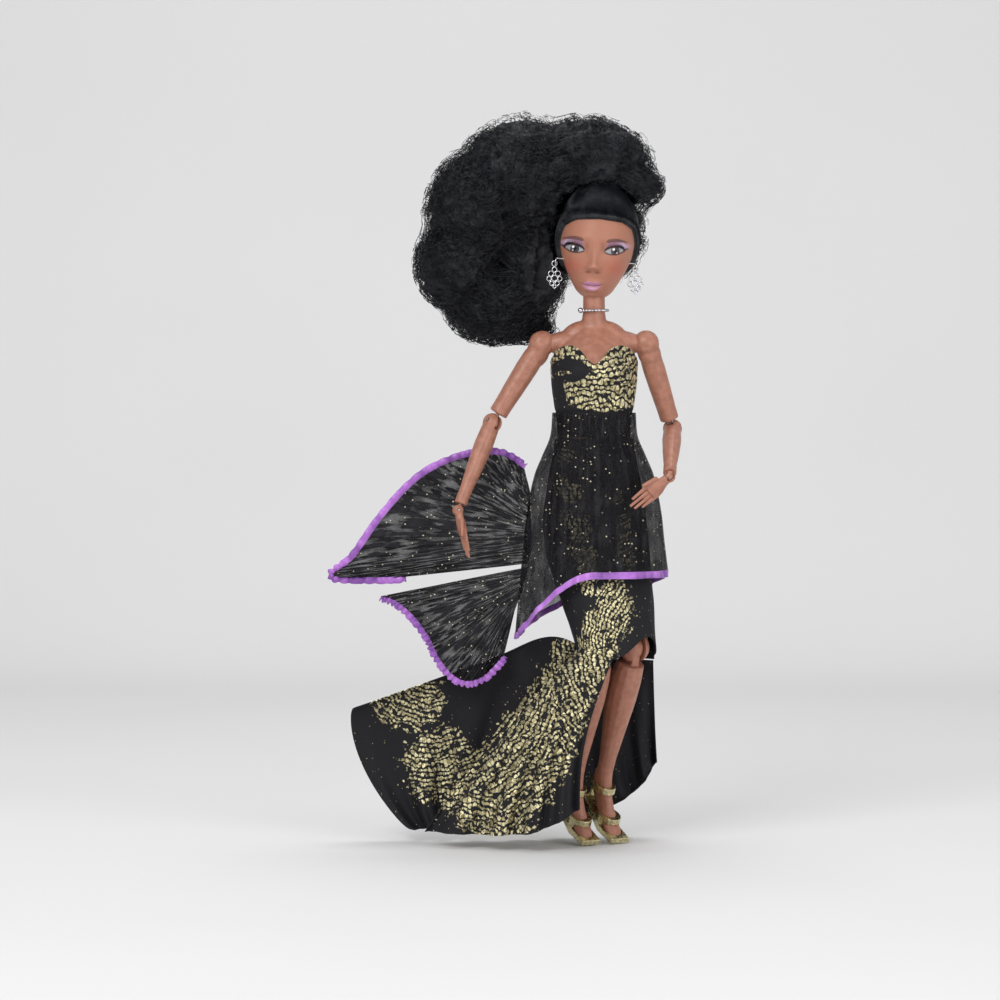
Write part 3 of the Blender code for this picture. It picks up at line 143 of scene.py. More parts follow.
LOWER_FAN_EDGE_SHARES = (
    (-0.72, -0.60), (-0.62, -0.66), (-0.50, -0.84), (-0.44, -1.00), (-0.34, -1.14), (-0.22, -1.12),
    (-0.12, -0.98))
LOWER_FAN_ROOT_SHARES = ((-0.032, -0.42), (-0.042, -0.52), (-0.054, -0.62), (-0.073, -0.72))
TRAIN_WIDTH = 140.0 * MM
TRAIN_HEIGHT = 82.0 * MM
TRAIN_WAVE = 3.0 * MM
TRAIN_FLARE = 9.0 * MM
TRAIN_WAVES = 8
TRAIN_X = 4.0 * MM
TRAIN_Z = -82.0 * MM
TRAIN_TOP_SHARES = (
    (0.161, -0.061, -0.228), (0.091, -0.014, -0.228), (-0.014, -0.026, -0.228), (-0.092, -0.096, -0.228),
    (-0.243, -0.015, -0.260), (-0.457, 0.030, -0.310), (-0.800, 0.030, -0.500))
TRAIN_FOOT_SHARES = (
    (0.18, 0.16, -0.82), (0.10, 0.17, -1.00), (-0.06, 0.155, -1.12), (-0.22, 0.085, -1.17),
    (-0.40, 0.05, -1.17),
    (-0.53, 0.03, -1.17), (-0.62, 0.03, -1.17))
PANEL_TOP_SHARES = (
    (0.036, -0.236, -0.228), (-0.018, -0.229, -0.228), (-0.061, -0.204, -0.228), (-0.080, -0.161, -0.228))
PANEL_FOOT_SHARES = (
    (-0.079, -0.264, -1.01), (-0.214, -0.264, -1.13), (-0.371, -0.200, -1.16), (-0.571, -0.100, -1.16))

# Gold-worked parts of the gown seen from the front, in millimetres and degrees:
# centres that the rows run round with the way they face, and round patches with a radius
SWIRLS = (
    (34.0, -96.0, 160.0), (-2.0, -204.0, 100.0), (-122.0, -92.0, -35.0), (-64.0, -216.0, 95.0),
    (-74.0, -104.0, -70.0), (-62.0, -30.0, 0.0), (0.0, 30.0, -90.0))
GOLD_PATCHES = (
    (-16.0, -8.0, 4.5), (-16.0, -22.0, 5.0), (-13.0, -36.0, 5.0), (-9.0, -50.0, 5.5), (-4.0, -64.0, 6.0),
    (15.0, -27.0, 3.5), (18.0, -40.0, 4.5), (21.0, -54.0, 5.0),
    (10.0, -76.0, 13.0), (2.0, -88.0, 13.0), (-6.0, -100.0, 13.0), (-12.0, -112.0, 14.0),
    (-18.0, -124.0, 15.0),
    (-26.0, -137.0, 17.0), (-35.0, -150.0, 18.0), (-44.0, -165.0, 18.0), (-82.0, -121.0, 14.0),
    (-68.0, -150.0, 18.0), (-92.0, -118.0, 10.0), (20.0, -40.0, 6.0), (19.0, -52.0, 7.0), (-8.0, -40.0, 6.0),
    (-6.0, -54.0, 7.0), (-4.0, -64.0, 7.0), (-12.0, -25.0, 5.0))


# Placing points, meshes and bodies

class Form:
    """An oval body along Z: rows of height, half width, half depth and Y shift."""

    def __init__(self, shares, size):
        height, width, depth = size
        rows = sorted((row[0] * height, row[1] * width, row[2] * depth, row[3] * depth) for row in shares)
        self.heights = [row[0] for row in rows]
        self.rows = rows

    def at(self, z):
        rows = self.rows
        if z <= rows[0][0]:
            return rows[0][1:]
        if z >= rows[-1][0]:
            return rows[-1][1:]
        k = int(np.searchsorted(self.heights, z)) - 1
        before = rows[max(k - 1, 0)]
        low = rows[k]
        high = rows[k + 1]
        after = rows[min(k + 2, len(rows) - 1)]
        span = high[0] - low[0]
        t = (z - low[0]) / span
        result = []
        for j in (1, 2, 3):
            start = (high[j] - before[j]) / max(high[0] - before[0], 1e-9) * span
            end = (after[j] - low[j]) / max(after[0] - low[0], 1e-9) * span
            result.append((2 * t ** 3 - 3 * t * t + 1) * low[j] + (t ** 3 - 2 * t * t + t) * start
                          + (3 * t * t - 2 * t ** 3) * high[j] + (t ** 3 - t * t) * end)
        return result

    def point(self, angle, z, offset=0.0):
        """Angle 0 is +X and -90 degrees is the front."""
        half_width, half_depth, shift = self.at(z)
        return Vector(((half_width + offset) * cos(angle), shift + (half_depth + offset) * sin(angle), z))


TORSO = Form(TORSO_SHARES, TORSO_SIZE)
GOWN = Form(GOWN_SHARES, GOWN_SIZE)
OVERSKIRT = Form(OVERSKIRT_SHARES, OVERSKIRT_SIZE)
YAW = Matrix.Rotation(radians(HIP_YAW), 4, "Z")
HEAD_FRAME = Matrix.Translation(NOD_POINT) @ Matrix.Rotation(radians(HEAD_ROLL), 4, "Y")


def smooth_track(points, share):
    """A point on a smooth curve through given points."""
    spans = len(points) - 1
    place = min(share * spans, spans - 1e-9)
    k = int(place)
    t = place - k
    before = points[max(k - 1, 0)]
    start = points[k]
    end = points[k + 1]
    after = points[min(k + 2, spans)]
    return tuple(0.5 * (2 * start[j] + (end[j] - before[j]) * t
                        + (2 * before[j] - 5 * start[j] + 4 * end[j] - after[j]) * t * t
                        + (3 * start[j] - before[j] - 3 * end[j] + after[j]) * t ** 3)
                 for j in range(len(start)))


def ease(value, low, high):
    """0 below low, 1 above high, smooth between."""
    t = np.clip((value - low) / (high - low), 0.0, 1.0)
    return t * t * (3.0 - 2.0 * t)


def bump(x, z, x0, z0, wide, tall):
    return np.exp(-((x - x0) / wide) ** 2 - ((z - z0) / tall) ** 2)


def coordinates(obj):
    co = np.empty(len(obj.data.vertices) * 3)
    obj.data.vertices.foreach_get("co", co)
    return co.reshape(-1, 3)


def set_coordinates(obj, co):
    obj.data.vertices.foreach_set("co", np.asarray(co, float).ravel())
    obj.data.update()


def corner_values(obj, name, values):
    """Keep a vector for each corner of the mesh, from one for each of its points."""
    mesh = obj.data
    index = np.empty(len(mesh.loops), int)
    mesh.loops.foreach_get("vertex_index", index)
    layer = mesh.attributes.new(name, "FLOAT_VECTOR", "CORNER")
    layer.data.foreach_set("vector", np.asarray(values, float)[index].ravel())


def only(obj):
    bpy.ops.object.select_all(action="DESELECT")
    obj.select_set(True)
    bpy.context.view_layer.objects.active = obj


def merge_points(obj, distance=1e-6, normals=False):
    only(obj)
    bpy.ops.object.mode_set(mode="EDIT")
    bpy.ops.mesh.select_all(action="SELECT")
    bpy.ops.mesh.remove_doubles(threshold=distance)
    if normals:
        bpy.ops.mesh.normals_make_consistent(inside=False)
    bpy.ops.object.mode_set(mode="OBJECT")


def apply_modifier(obj, kind, **settings):
    only(obj)
    step = obj.modifiers.new(kind.lower(), kind)
    for key, value in settings.items():
        setattr(step, key, value)
    bpy.ops.object.modifier_apply(modifier=step.name)


def sheet_grid(name, place, across, down, cells=None):
    """A grid with its points set by place(s, t), s across and t down; cells gives the pattern values."""
    bpy.ops.object.select_all(action="DESELECT")
    bpy.ops.mesh.primitive_grid_add(x_subdivisions=across, y_subdivisions=down, size=1.0)
    obj = bpy.context.object
    obj.name = name
    obj.data.name = name
    flat = coordinates(obj)
    s = flat[:, 0] + 0.5
    t = 0.5 - flat[:, 1]
    points = np.array([place(a, b) for a, b in zip(s, t)])
    set_coordinates(obj, points)
    corner_values(obj, "weave", np.stack([s, t, np.zeros(len(s))], 1))
    if cells:
        corner_values(obj, "cells", cells(points / MM, s, t))
    return obj


def cut_size(obj, place, steps=480):
    """A sheet's flat cut, measured along the cloth: its longest row and column, and its area."""
    def run(points):
        return sum((b - a).length for a, b in zip(points, points[1:]))

    shares = [k / steps for k in range(steps + 1)]
    width = max(run([place(s, t) for s in shares]) for t in (0.0, 0.5, 1.0))
    length = max(run([place(s, t) for t in shares[::10]]) for s in shares[::40])
    return width, length, sum(face.area for face in obj.data.polygons)


def finish_piece(obj, body, material, nodes=(), angle=40.0):
    """Shade a piece, give it its finish and let it ride on a body."""
    obj.data.materials.clear()
    obj.data.materials.append(material)
    only(obj)
    bpy.ops.object.shade_smooth_by_angle(angle=radians(angle))
    if nodes:
        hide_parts(*nodes)
    if body:
        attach(obj, body)
    return obj


def thicken(obj, thickness, offset=0.0):
    apply_modifier(obj, "SOLIDIFY", thickness=thickness, offset=offset)


def flesh(kind, centre, half, tilt=0.0):
    """A ball or short cylinder, in millimetres, that swells a piece before it is remeshed."""
    bpy.ops.object.select_all(action="DESELECT")
    where = [value * MM for value in centre]
    if kind == "ball":
        bpy.ops.mesh.primitive_uv_sphere_add(segments=48, ring_count=24, radius=1.0, location=where)
    else:
        bpy.ops.mesh.primitive_cylinder_add(vertices=48, radius=1.0, depth=2.0, location=where)
    obj = bpy.context.object
    obj.rotation_euler = (0.0, radians(tilt), 0.0)
    obj.scale = [value * MM for value in half]
    bpy.ops.object.transform_apply(location=True, rotation=True, scale=True)
    return obj


def refined(node, name, body, material, voxel, rounds, swells=()):
    """A finer copy of a CAD node: merged, remeshed and eased so that its facets go."""
    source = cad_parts[node]
    obj = source.copy()
    obj.data = source.data.copy()
    bpy.context.scene.collection.objects.link(obj)
    for key in list(obj.keys()):
        del obj[key]
    obj.parent = None
    obj.name = name
    obj.data.name = name
    merge_points(obj)
    if swells:
        parts = [flesh(*swell) for swell in swells]
        obj = joined(name, [obj, *parts])
    apply_modifier(obj, "REMESH", mode="VOXEL", voxel_size=voxel)
    apply_modifier(obj, "SMOOTH", factor=0.5, iterations=rounds)
    return finish_piece(obj, body, material, (node,), 80.0)


# Finishes

class Finish:
    """A material built node by node on the Principled shader."""

    def __init__(self, name, colour, roughness, metallic=0.0):
        self.material = bpy.data.materials.new(name)
        self.material.use_nodes = True
        self.tree = self.material.node_tree
        self.shader = self.tree.nodes["Principled BSDF"]
        self.set("Base Color", (*colour, 1.0))
        self.set("Roughness", roughness)
        self.set("Metallic", metallic)

    def set(self, socket, value):
        if isinstance(value, bpy.types.NodeSocket):
            self.tree.links.new(value, self.shader.inputs[socket])
        else:
            self.shader.inputs[socket].default_value = value

    def node(self, kind, inputs=(), **settings):
        node = self.tree.nodes.new("ShaderNode" + kind)
        for key, value in settings.items():
            setattr(node, key, value)
        for key, value in dict(inputs).items():
            if isinstance(value, bpy.types.NodeSocket):
                self.tree.links.new(value, node.inputs[key])
            else:
                node.inputs[key].default_value = value
        return node

    def math(self, operation, *values):
        return self.node("Math", dict(enumerate(values)), operation=operation).outputs[0]

    def spread(self, value, low, high, out_low=0.0, out_high=1.0):
        """Map a value's range smoothly onto another."""
        return self.node("MapRange", {0: value, 1: low, 2: high, 3: out_low, 4: out_high},
                         interpolation_type="SMOOTHSTEP").outputs[0]

    def place(self, scale=(1.0, 1.0, 1.0)):
        """Object coordinates in millimetres, stretched by scale."""
        coordinate = self.node("TexCoord").outputs["Object"]
        return self.node("Mapping", {"Vector": coordinate, "Scale": [1000.0 * k for k in scale]}).outputs[0]

    def noise(self, scale, detail=3.0, vector=None, stretch=(1.0, 1.0, 1.0)):
        vector = vector or self.place(stretch)
        return self.node("TexNoise", {"Vector": vector, "Scale": scale, "Detail": detail}).outputs["Fac"]

    def mix(self, share, first, second):
        node = self.node("Mix", data_type="RGBA")
        for key, value in ((0, share), (6, first), (7, second)):
            if isinstance(value, bpy.types.NodeSocket):
                self.tree.links.new(value, node.inputs[key])
            else:
                node.inputs[key].default_value = value if key == 0 else (*value, 1.0)
        return node.outputs[2]

    def bump(self, height, strength, distance):
        self.set("Normal", self.node("Bump", {"Height": height, "Strength": strength,
                                              "Distance": distance}).outputs[0])

    def attribute(self, name):
        return self.node("Attribute", attribute_name=name)


SKIN = (0.41, 0.180, 0.118)
SKIN_DEEP = (0.33, 0.135, 0.086)


def skin_finish(painted=False):
    """Matt moulded vinyl with slight mottling; the head's colour comes painted on its points."""
    finish = Finish("painted_face" if painted else "skin_vinyl", SKIN, 0.42)
    tone = finish.noise(0.35, 2.0)
    if painted:
        colour = finish.attribute("paint")
        finish.set("Base Color", finish.mix(finish.spread(tone, 0.3, 0.7, 0.0, 0.12), colour.outputs["Color"],
                                            SKIN_DEEP))
        gloss = finish.attribute("gloss").outputs["Fac"]
        finish.set("Roughness", finish.spread(gloss, 0.0, 1.0, 0.46, 0.15))
        finish.set("Specular IOR Level", 0.28)
    else:
        finish.set("Base Color", finish.mix(finish.spread(tone, 0.3, 0.7), SKIN, SKIN_DEEP))
        finish.set("Roughness", finish.spread(finish.noise(2.2), 0.3, 0.7, 0.36, 0.50))
    finish.set("Subsurface Weight", 0.08)
    finish.set("Subsurface Radius", (1.0, 0.4, 0.25))
    finish.set("Subsurface Scale", 0.0012)
    finish.bump(finish.noise(5.0, 4.0), 0.10, 0.0002)
    return finish.material


def gold_cloth_finish(name, swirl):
    """Black knit worked with rows of small gold foil cells; swirl rows run round centres."""
    finish = Finish(name, (0.008, 0.0075, 0.009), 0.75)
    finish.set("Specular IOR Level", 0.22)
    parts = finish.node("SeparateXYZ", {0: finish.attribute("cells").outputs["Vector"]})
    wander = finish.noise(0.22, 2.0)
    row = finish.math("MULTIPLY_ADD", wander, 2.6, parts.outputs[0])
    along = parts.outputs[1]
    ring = finish.math("FLOOR", row)
    if swirl:
        along = finish.math("MULTIPLY", along, finish.math("ADD", ring, 1.0))
    else:
        along = finish.math("MULTIPLY_ADD", ring, 0.37, along)
    across = finish.math("ABSOLUTE", finish.math("SUBTRACT", finish.math("FRACT", row), 0.5))
    length = finish.math("ABSOLUTE", finish.math("SUBTRACT", finish.math("FRACT", along), 0.5))
    ragged = finish.math("MULTIPLY_ADD", finish.noise(1.6, 2.0), 0.9, -0.45)
    shape = finish.math("ADD", finish.math("POWER", finish.math("DIVIDE", across, 0.34), 2.4),
                        finish.math("POWER", finish.math("DIVIDE", length, 0.46), 2.4))
    cell = finish.spread(finish.math("ADD", shape, ragged), 1.15, 0.80)
    keep = finish.math("SUBTRACT", parts.outputs[2], finish.noise(0.33, 3.0))
    cell = finish.math("MULTIPLY", cell, finish.spread(keep, -0.03, 0.03))
    sparkle = finish.node("TexVoronoi", {"Vector": finish.place(), "Scale": 0.75}).outputs
    speck = finish.spread(sparkle["Distance"], 0.20, 0.12)
    few = finish.node("SeparateColor", {0: sparkle["Color"]}).outputs[0]
    speck = finish.math("MULTIPLY", speck, finish.math("GREATER_THAN", few, 0.86))
    foil = finish.math("MAXIMUM", cell, speck)
    tint = finish.node("SeparateColor", {0: finish.node("TexVoronoi", {"Vector": finish.place(), "Scale": 0.9})
                                         .outputs["Color"]}).outputs[1]
    gold = finish.mix(tint, (0.20, 0.16, 0.07), (0.90, 0.82, 0.50))
    threads = finish.noise(6.0, 2.0)
    black = finish.mix(threads, (0.004, 0.004, 0.005), (0.020, 0.019, 0.023))
    finish.set("Base Color", finish.mix(foil, black, gold))
    finish.set("Metallic", finish.math("MULTIPLY", foil, 0.55))
    finish.set("Roughness", finish.spread(foil, 0.0, 1.0, 0.75, 0.30))
    crumple = finish.math("MULTIPLY", finish.noise(3.5, 2.0), foil)
    height = finish.math("ADD", finish.math("ADD", foil, crumple), finish.math("MULTIPLY", threads, 0.25))
    finish.bump(height, 0.5, 0.0003)
    return finish.material


def tulle_finish(name, clear, streaks):
    """Sheer black net with glitter; streaks is how strongly lace ribs show along the weave's rays."""
    finish = Finish(name, (0.012, 0.011, 0.014), 0.6)
    weave = finish.attribute("weave").outputs["Vector"]
    ribs = finish.node("Mapping", {"Vector": weave, "Scale": (60.0, 6.0, 1.0)}).outputs[0]
    rib = finish.noise(1.0, 4.0, ribs)
    cloud = finish.noise(0.12, 3.0)
    net = finish.node("TexVoronoi", {"Vector": finish.place(), "Scale": 1.6}, feature="DISTANCE_TO_EDGE")
    thread = finish.spread(net.outputs["Distance"], 0.14, 0.05)
    cover = finish.math("MULTIPLY_ADD", finish.spread(rib, 0.40, 0.60), streaks, 1.0 - clear)
    cover = finish.math("MULTIPLY_ADD", finish.spread(cloud, 0.35, 0.65), 0.16, cover)
    cover = finish.math("MULTIPLY_ADD", thread, 0.14, cover)
    sparkle = finish.node("TexVoronoi", {"Vector": finish.place(), "Scale": 0.6}).outputs
    few = finish.node("SeparateColor", {0: sparkle["Color"]}).outputs[0]
    speck = finish.math("MULTIPLY", finish.spread(sparkle["Distance"], 0.22, 0.14),
                        finish.math("GREATER_THAN", few, 0.80))
    grey = finish.mix(finish.spread(rib, 0.45, 0.75), (0.006, 0.0055, 0.007), (0.022, 0.021, 0.025))
    finish.set("Base Color", finish.mix(speck, grey, (0.72, 0.66, 0.46)))
    finish.set("Alpha", finish.math("MINIMUM", finish.math("ADD", cover, speck), 1.0))
    finish.set("Specular IOR Level", 0.2)
    finish.bump(finish.math("ADD", rib, thread), 0.4, 0.0003)
    return finish.material


def satin_finish():
    finish = Finish("purple_satin_ribbon", (0.26, 0.075, 0.40), 0.32)
    weave = finish.attribute("weave").outputs["Vector"]
    fine = finish.node("Mapping", {"Vector": weave, "Scale": (3.0, 26.0, 1.0)}).outputs[0]
    cords = finish.noise(1.0, 2.0, fine)
    sheen = finish.noise(0.10, 2.0)
    tone = finish.spread(sheen, 0.35, 0.65)
    finish.set("Base Color", finish.mix(tone, (0.20, 0.055, 0.33), (0.44, 0.16, 0.60)))
    finish.set("Roughness", finish.spread(cords, 0.3, 0.7, 0.26, 0.42))
    finish.set("Sheen Weight", 0.3)
    finish.bump(finish.math("ADD", cords, finish.noise(2.5, 2.0)), 0.25, 0.0002)
    return finish.material


def hair_finish(combed=False):
    """Near-black saran fibre with fine streaks, and soft grey painted highlights in patches and along the
    streaks.
    """
    finish = Finish("combed_hair" if combed else "black_fibre_hair", (0.012, 0.013, 0.017), 0.42)
    highlight_patch = finish.noise(0.16, 3.0)
    if combed:
        weave = finish.attribute("weave").outputs["Vector"]
        rays = finish.node("Mapping", {"Vector": weave, "Scale": (170.0, 2.2, 1.0)}).outputs[0]
        streak = finish.noise(1.0, 4.0, rays)
    else:
        streak = finish.noise(3.0, 3.0, stretch=(1.0, 0.25, 1.0))
    # Painted highlights: grey patches and streaks laid into the near-black base colour.
    tone = finish.math("MULTIPLY", finish.spread(highlight_patch, 0.40, 0.75), finish.spread(streak, 0.35, 0.7))
    finish.set("Base Color", finish.mix(tone, (0.005, 0.0055, 0.008), (0.040, 0.042, 0.050)))
    finish.set("Roughness", finish.spread(streak, 0.3, 0.7, 0.34, 0.52))
    finish.set("Specular IOR Level", 0.38 if combed else 0.22)
    finish.bump(streak, 0.6 if combed else 0.35, 0.0003)
    return finish.material


def metal_finish(name, colour, pale, roughness, grain):
    finish = Finish(name, colour, roughness, 1.0)
    wear = finish.noise(grain, 4.0)
    finish.set("Base Color", finish.mix(finish.spread(wear, 0.35, 0.7), colour, pale))
    finish.set("Roughness", finish.spread(wear, 0.3, 0.7, roughness * 0.8, roughness * 1.4))
    finish.bump(finish.noise(grain * 3.0, 3.0), 0.12, 0.0002)
    return finish.material


def plastic_finish():
    finish = Finish("joint_plastic", (0.46, 0.27, 0.20), 0.45)
    grain = finish.noise(1.5, 4.0)
    finish.set("Base Color", finish.mix(grain, (0.40, 0.22, 0.155), (0.52, 0.31, 0.23)))
    finish.set("Roughness", finish.spread(grain, 0.3, 0.7, 0.38, 0.55))
    finish.bump(finish.noise(6.0, 3.0), 0.1, 0.0002)
    return finish.material


SKIN_VINYL = skin_finish()
PAINTED_FACE = skin_finish(True)
GOLD_ROWS = gold_cloth_finish("gold_row_cloth", False)
GOLD_SWIRLS = gold_cloth_finish("gold_swirl_cloth", True)
TULLE = tulle_finish("black_tulle", 0.68, 0.16)
LACE = tulle_finish("black_lace_tulle", 0.50, 0.42)
SATIN = satin_finish()
HAIR = hair_finish()
COMBED_HAIR = hair_finish(True)
SILVER = metal_finish("silver_jewellery", (0.50, 0.51, 0.54), (0.78, 0.78, 0.80), 0.20, 1.2)
PIN_METAL = metal_finish("pin_steel", (0.34, 0.35, 0.37), (0.52, 0.53, 0.55), 0.30, 2.0)
SHOE_GOLD = metal_finish("shoe_gold", (0.52, 0.46, 0.26), (0.80, 0.72, 0.44), 0.28, 0.8)
PLASTIC = plastic_finish()


# Pattern values for the cloth

def gold_amount(x, z):
    """How fully the cloth is worked with gold at a place seen from the front, 0 to 1."""
    amount = np.full(np.shape(x), 0.22)
    for px, pz, radius in GOLD_PATCHES:
        far = np.hypot(x - px, z - pz)
        amount = np.maximum(amount, 0.22 + 0.36 * (1.0 - ease(far, radius * 0.70, radius * 1.5)))
    return amount


def swirl_cells(x, z, amount):
    """Distance and angle about the nearest swirl centre, in cells, with the amount of gold."""
    far = np.full(np.shape(x), 1e9)
    angle = np.zeros(np.shape(x))
    for cx, cz, facing in SWIRLS:
        distance = np.hypot(x - cx, z - cz)
        nearer = distance < far
        far = np.where(nearer, distance, far)
        turn = np.arctan2(z - cz, x - cx) - radians(facing)
        turn = (turn + pi) % (2 * pi) - pi
        angle = np.where(nearer, turn, angle)
    return np.stack([far / 2.25, angle * 1.05 + 8.0, amount], 1)


def front_cells(points, s, t):
    x = points[:, 0]
    z = points[:, 2]
    return swirl_cells(x, z, gold_amount(x, z))


def tube_cells(points, s, t):
    """Like front_cells, unrolled round the body so that the pattern keeps its scale at the sides."""
    x = points[:, 0]
    y = points[:, 1]
    z = points[:, 2]
    middle = np.interp(z, (-100.0, -60.0, -20.0), (-20.0, -8.0, 0.0))
    turn = np.arctan2(x - 2.0, -(y - middle))
    across = 2.0 + 22.0 * turn
    return swirl_cells(across, z, gold_amount(across, z))


def bodice_cells(points, s, t):
    """Rows that fan from the middle of the bust to the sides, sparse below the bust seam."""
    x = points[:, 0]
    y = points[:, 1]
    z = points[:, 2]
    across = 17.0 * np.arctan2(x, -y)
    lift = 0.020 * across ** 2 * np.where(z > 24.0, 1.0, -0.35)
    row = (z - 24.0 - lift * 0.5) / (2.35 + 0.045 * np.abs(across)) + 30.0
    along = across / 2.5 + 40.0
    amount = np.where(z > SEAM_Z + 0.02 * (across - 6.0) ** 2 * 0.4, 0.66, 0.10)
    lens = ((across + 13.0) / 10.5) ** 2 + ((z - 29.5) / 5.2) ** 2
    amount = np.where(lens < 1.0, 0.05, amount)
    line = (np.abs(z - 28.6 - 0.10 * (across + 13.0)) < 0.9) & (np.abs(across + 13.5) < 4.2)
    amount = np.where(line, 0.95, amount)
    side = (across < -15.0) & (z < 26.0)
    amount = np.where(side, 0.14, amount)
    return np.stack([row, along, amount], 1)


# Body

# Where the shoulders turn and how far the flesh swells there, in millimetres
SHOULDER_X = 23.5
SHOULDER_Z = 41.5
SHOULDER_BALL = (5.6, 5.6, 5.6)
SHOULDER_MUSCLE = (5.2, 5.2, 7.0)


def build_body():
    yokes = []
    for side, sign in (("right", -1), ("left", 1)):
        shoulder = (sign * SHOULDER_X, 0.0, SHOULDER_Z)
        down = Vector((sign * 0.42, 0.0, -0.91)) if side == "right" else Vector((0.29, 0.27, -0.92))
        muscle = Vector(shoulder) + down * 4.5
        swells = (("ball", shoulder, SHOULDER_BALL), ("ball", muscle, SHOULDER_MUSCLE, -sign * 22.0))
        refined(f"{side}_upper_arm", f"{side}_upper_arm_smooth", f"{side}_upper_arm", SKIN_VINYL,
                0.36 * MM, 14, swells)
        for part, voxel, rounds in (("forearm", 0.30, 12), ("hand", 0.22, 7), ("shin", 0.36, 12)):
            refined(f"{side}_{part}", f"{side}_{part}_smooth", f"{side}_{part}", SKIN_VINYL,
                    voxel * MM, rounds)
        refined(f"{side}_shoe", f"{side}_sandal", f"{side}_shin", SHOE_GOLD, 0.24 * MM, 3)
        refined(f"{side}_thigh", f"{side}_thigh_smooth", f"{side}_thigh", SKIN_VINYL, 0.45 * MM, 12)
        yokes.append(("ball", (sign * 14.0, 0.6, 42.6), (11.0, 5.6, 4.6), sign * 13.0))
        yokes.append(("ball", (sign * 8.0, 0.9, 46.0), (8.0, 5.2, 5.0), sign * 30.0))
    yokes.append(("post", (0.0, 0.95, 59.0), (4.9, 4.9, 6.4)))
    refined("chest", "chest_smooth", "chest", SKIN_VINYL, 0.40 * MM, 16, yokes)
    for name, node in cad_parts.items():
        if node.hide_render:
            continue
        if name == "lower_torso":
            material = SKIN_VINYL
        elif name.endswith("_peg"):
            material = PLASTIC
        elif name.endswith("_pin") or name.endswith("_axle"):
            material = PIN_METAL
        else:
            continue
        node.data.materials.clear()
        node.data.materials.append(material)


# Head

def skull_point(x, y, z, offset=0.0):
    """A unit direction becomes a point on the plain skull, in the head's own frame."""
    down = np.maximum(0.0, -z)
    chin = np.interp(down, (0.0, 0.25, 0.45, 0.62, 0.77, 0.91, 1.0),
                     (1.0, 0.975, 0.925, 0.888, 0.885, 0.965, 1.06))
    back = np.where(y > 0, 1.0 - 0.42 * down * down, 1.0 - 0.12 * down)
    return np.stack([x * chin * (HEAD_WIDTH / 2 + offset), y * back * (HEAD_DEPTH / 2 + offset),
                     z * (HEAD_HEIGHT / 2 + offset) + HEAD_RISE], -1)


def sculpt_face(points):
    """Nose, eye hollows, lips, cheeks and chin, all pushed along the face's forward axis."""
    x = points[:, 0] / MM - FACE_X
    z = points[:, 2] / MM
    front = ease(-points[:, 1] / MM, 0.0, 8.0)
    mirror = np.abs(x)
    push = np.zeros(len(x))
    along = np.clip((19.5 - z) / 10.0, 0.0, 1.15)
    ridge = np.where(along < 1.0, 0.35 + 2.9 * along ** 1.4, 0.0)
    ridge = np.where(z < 9.6, 3.25 * np.exp(-((9.6 - z) / 1.25) ** 2), ridge)
    ridge = ridge * ease(z, 24.5, 18.0)
    push += ridge * np.exp(-(x / (1.35 + 0.75 * along)) ** 2)
    push += 1.35 * bump(mirror, z, 2.25, 8.9, 1.25, 1.35)
    push -= 1.15 * bump(mirror, z, 8.6, 17.6, 4.6, 3.0)
    push -= 0.55 * bump(mirror, z, 4.2, 16.8, 1.7, 2.6)
    push += 0.75 * bump(mirror, z, 9.0, 17.2, 3.3, 1.9)
    push += 0.65 * bump(mirror, z, 8.5, 22.6, 6.0, 1.9)
    push += 0.95 * bump(mirror, z, 10.2, 9.8, 4.4, 4.6)
    mouth = np.exp(-(x / 4.3) ** 4)
    push += 1.15 * mouth * np.exp(-((z - 2.75) / 1.15) ** 2)
    push += 1.35 * mouth * np.exp(-((z + 0.15) / 1.25) ** 2)
    push -= 0.55 * mouth * np.exp(-((z - 1.35 - 0.018 * x * x) / 0.34) ** 2)
    push += 0.8 * bump(x, z, 0.0, 1.5, 6.0, 4.2)
    push -= 0.35 * bump(x, z, 0.0, 5.3, 0.75, 1.4)
    push += 1.15 * bump(x, z, 0.0, -3.9, 3.4, 2.2)
    push -= 0.35 * bump(x, z, 0.0, -1.9, 3.0, 0.7)
    points[:, 1] -= push * front * MM
    return points


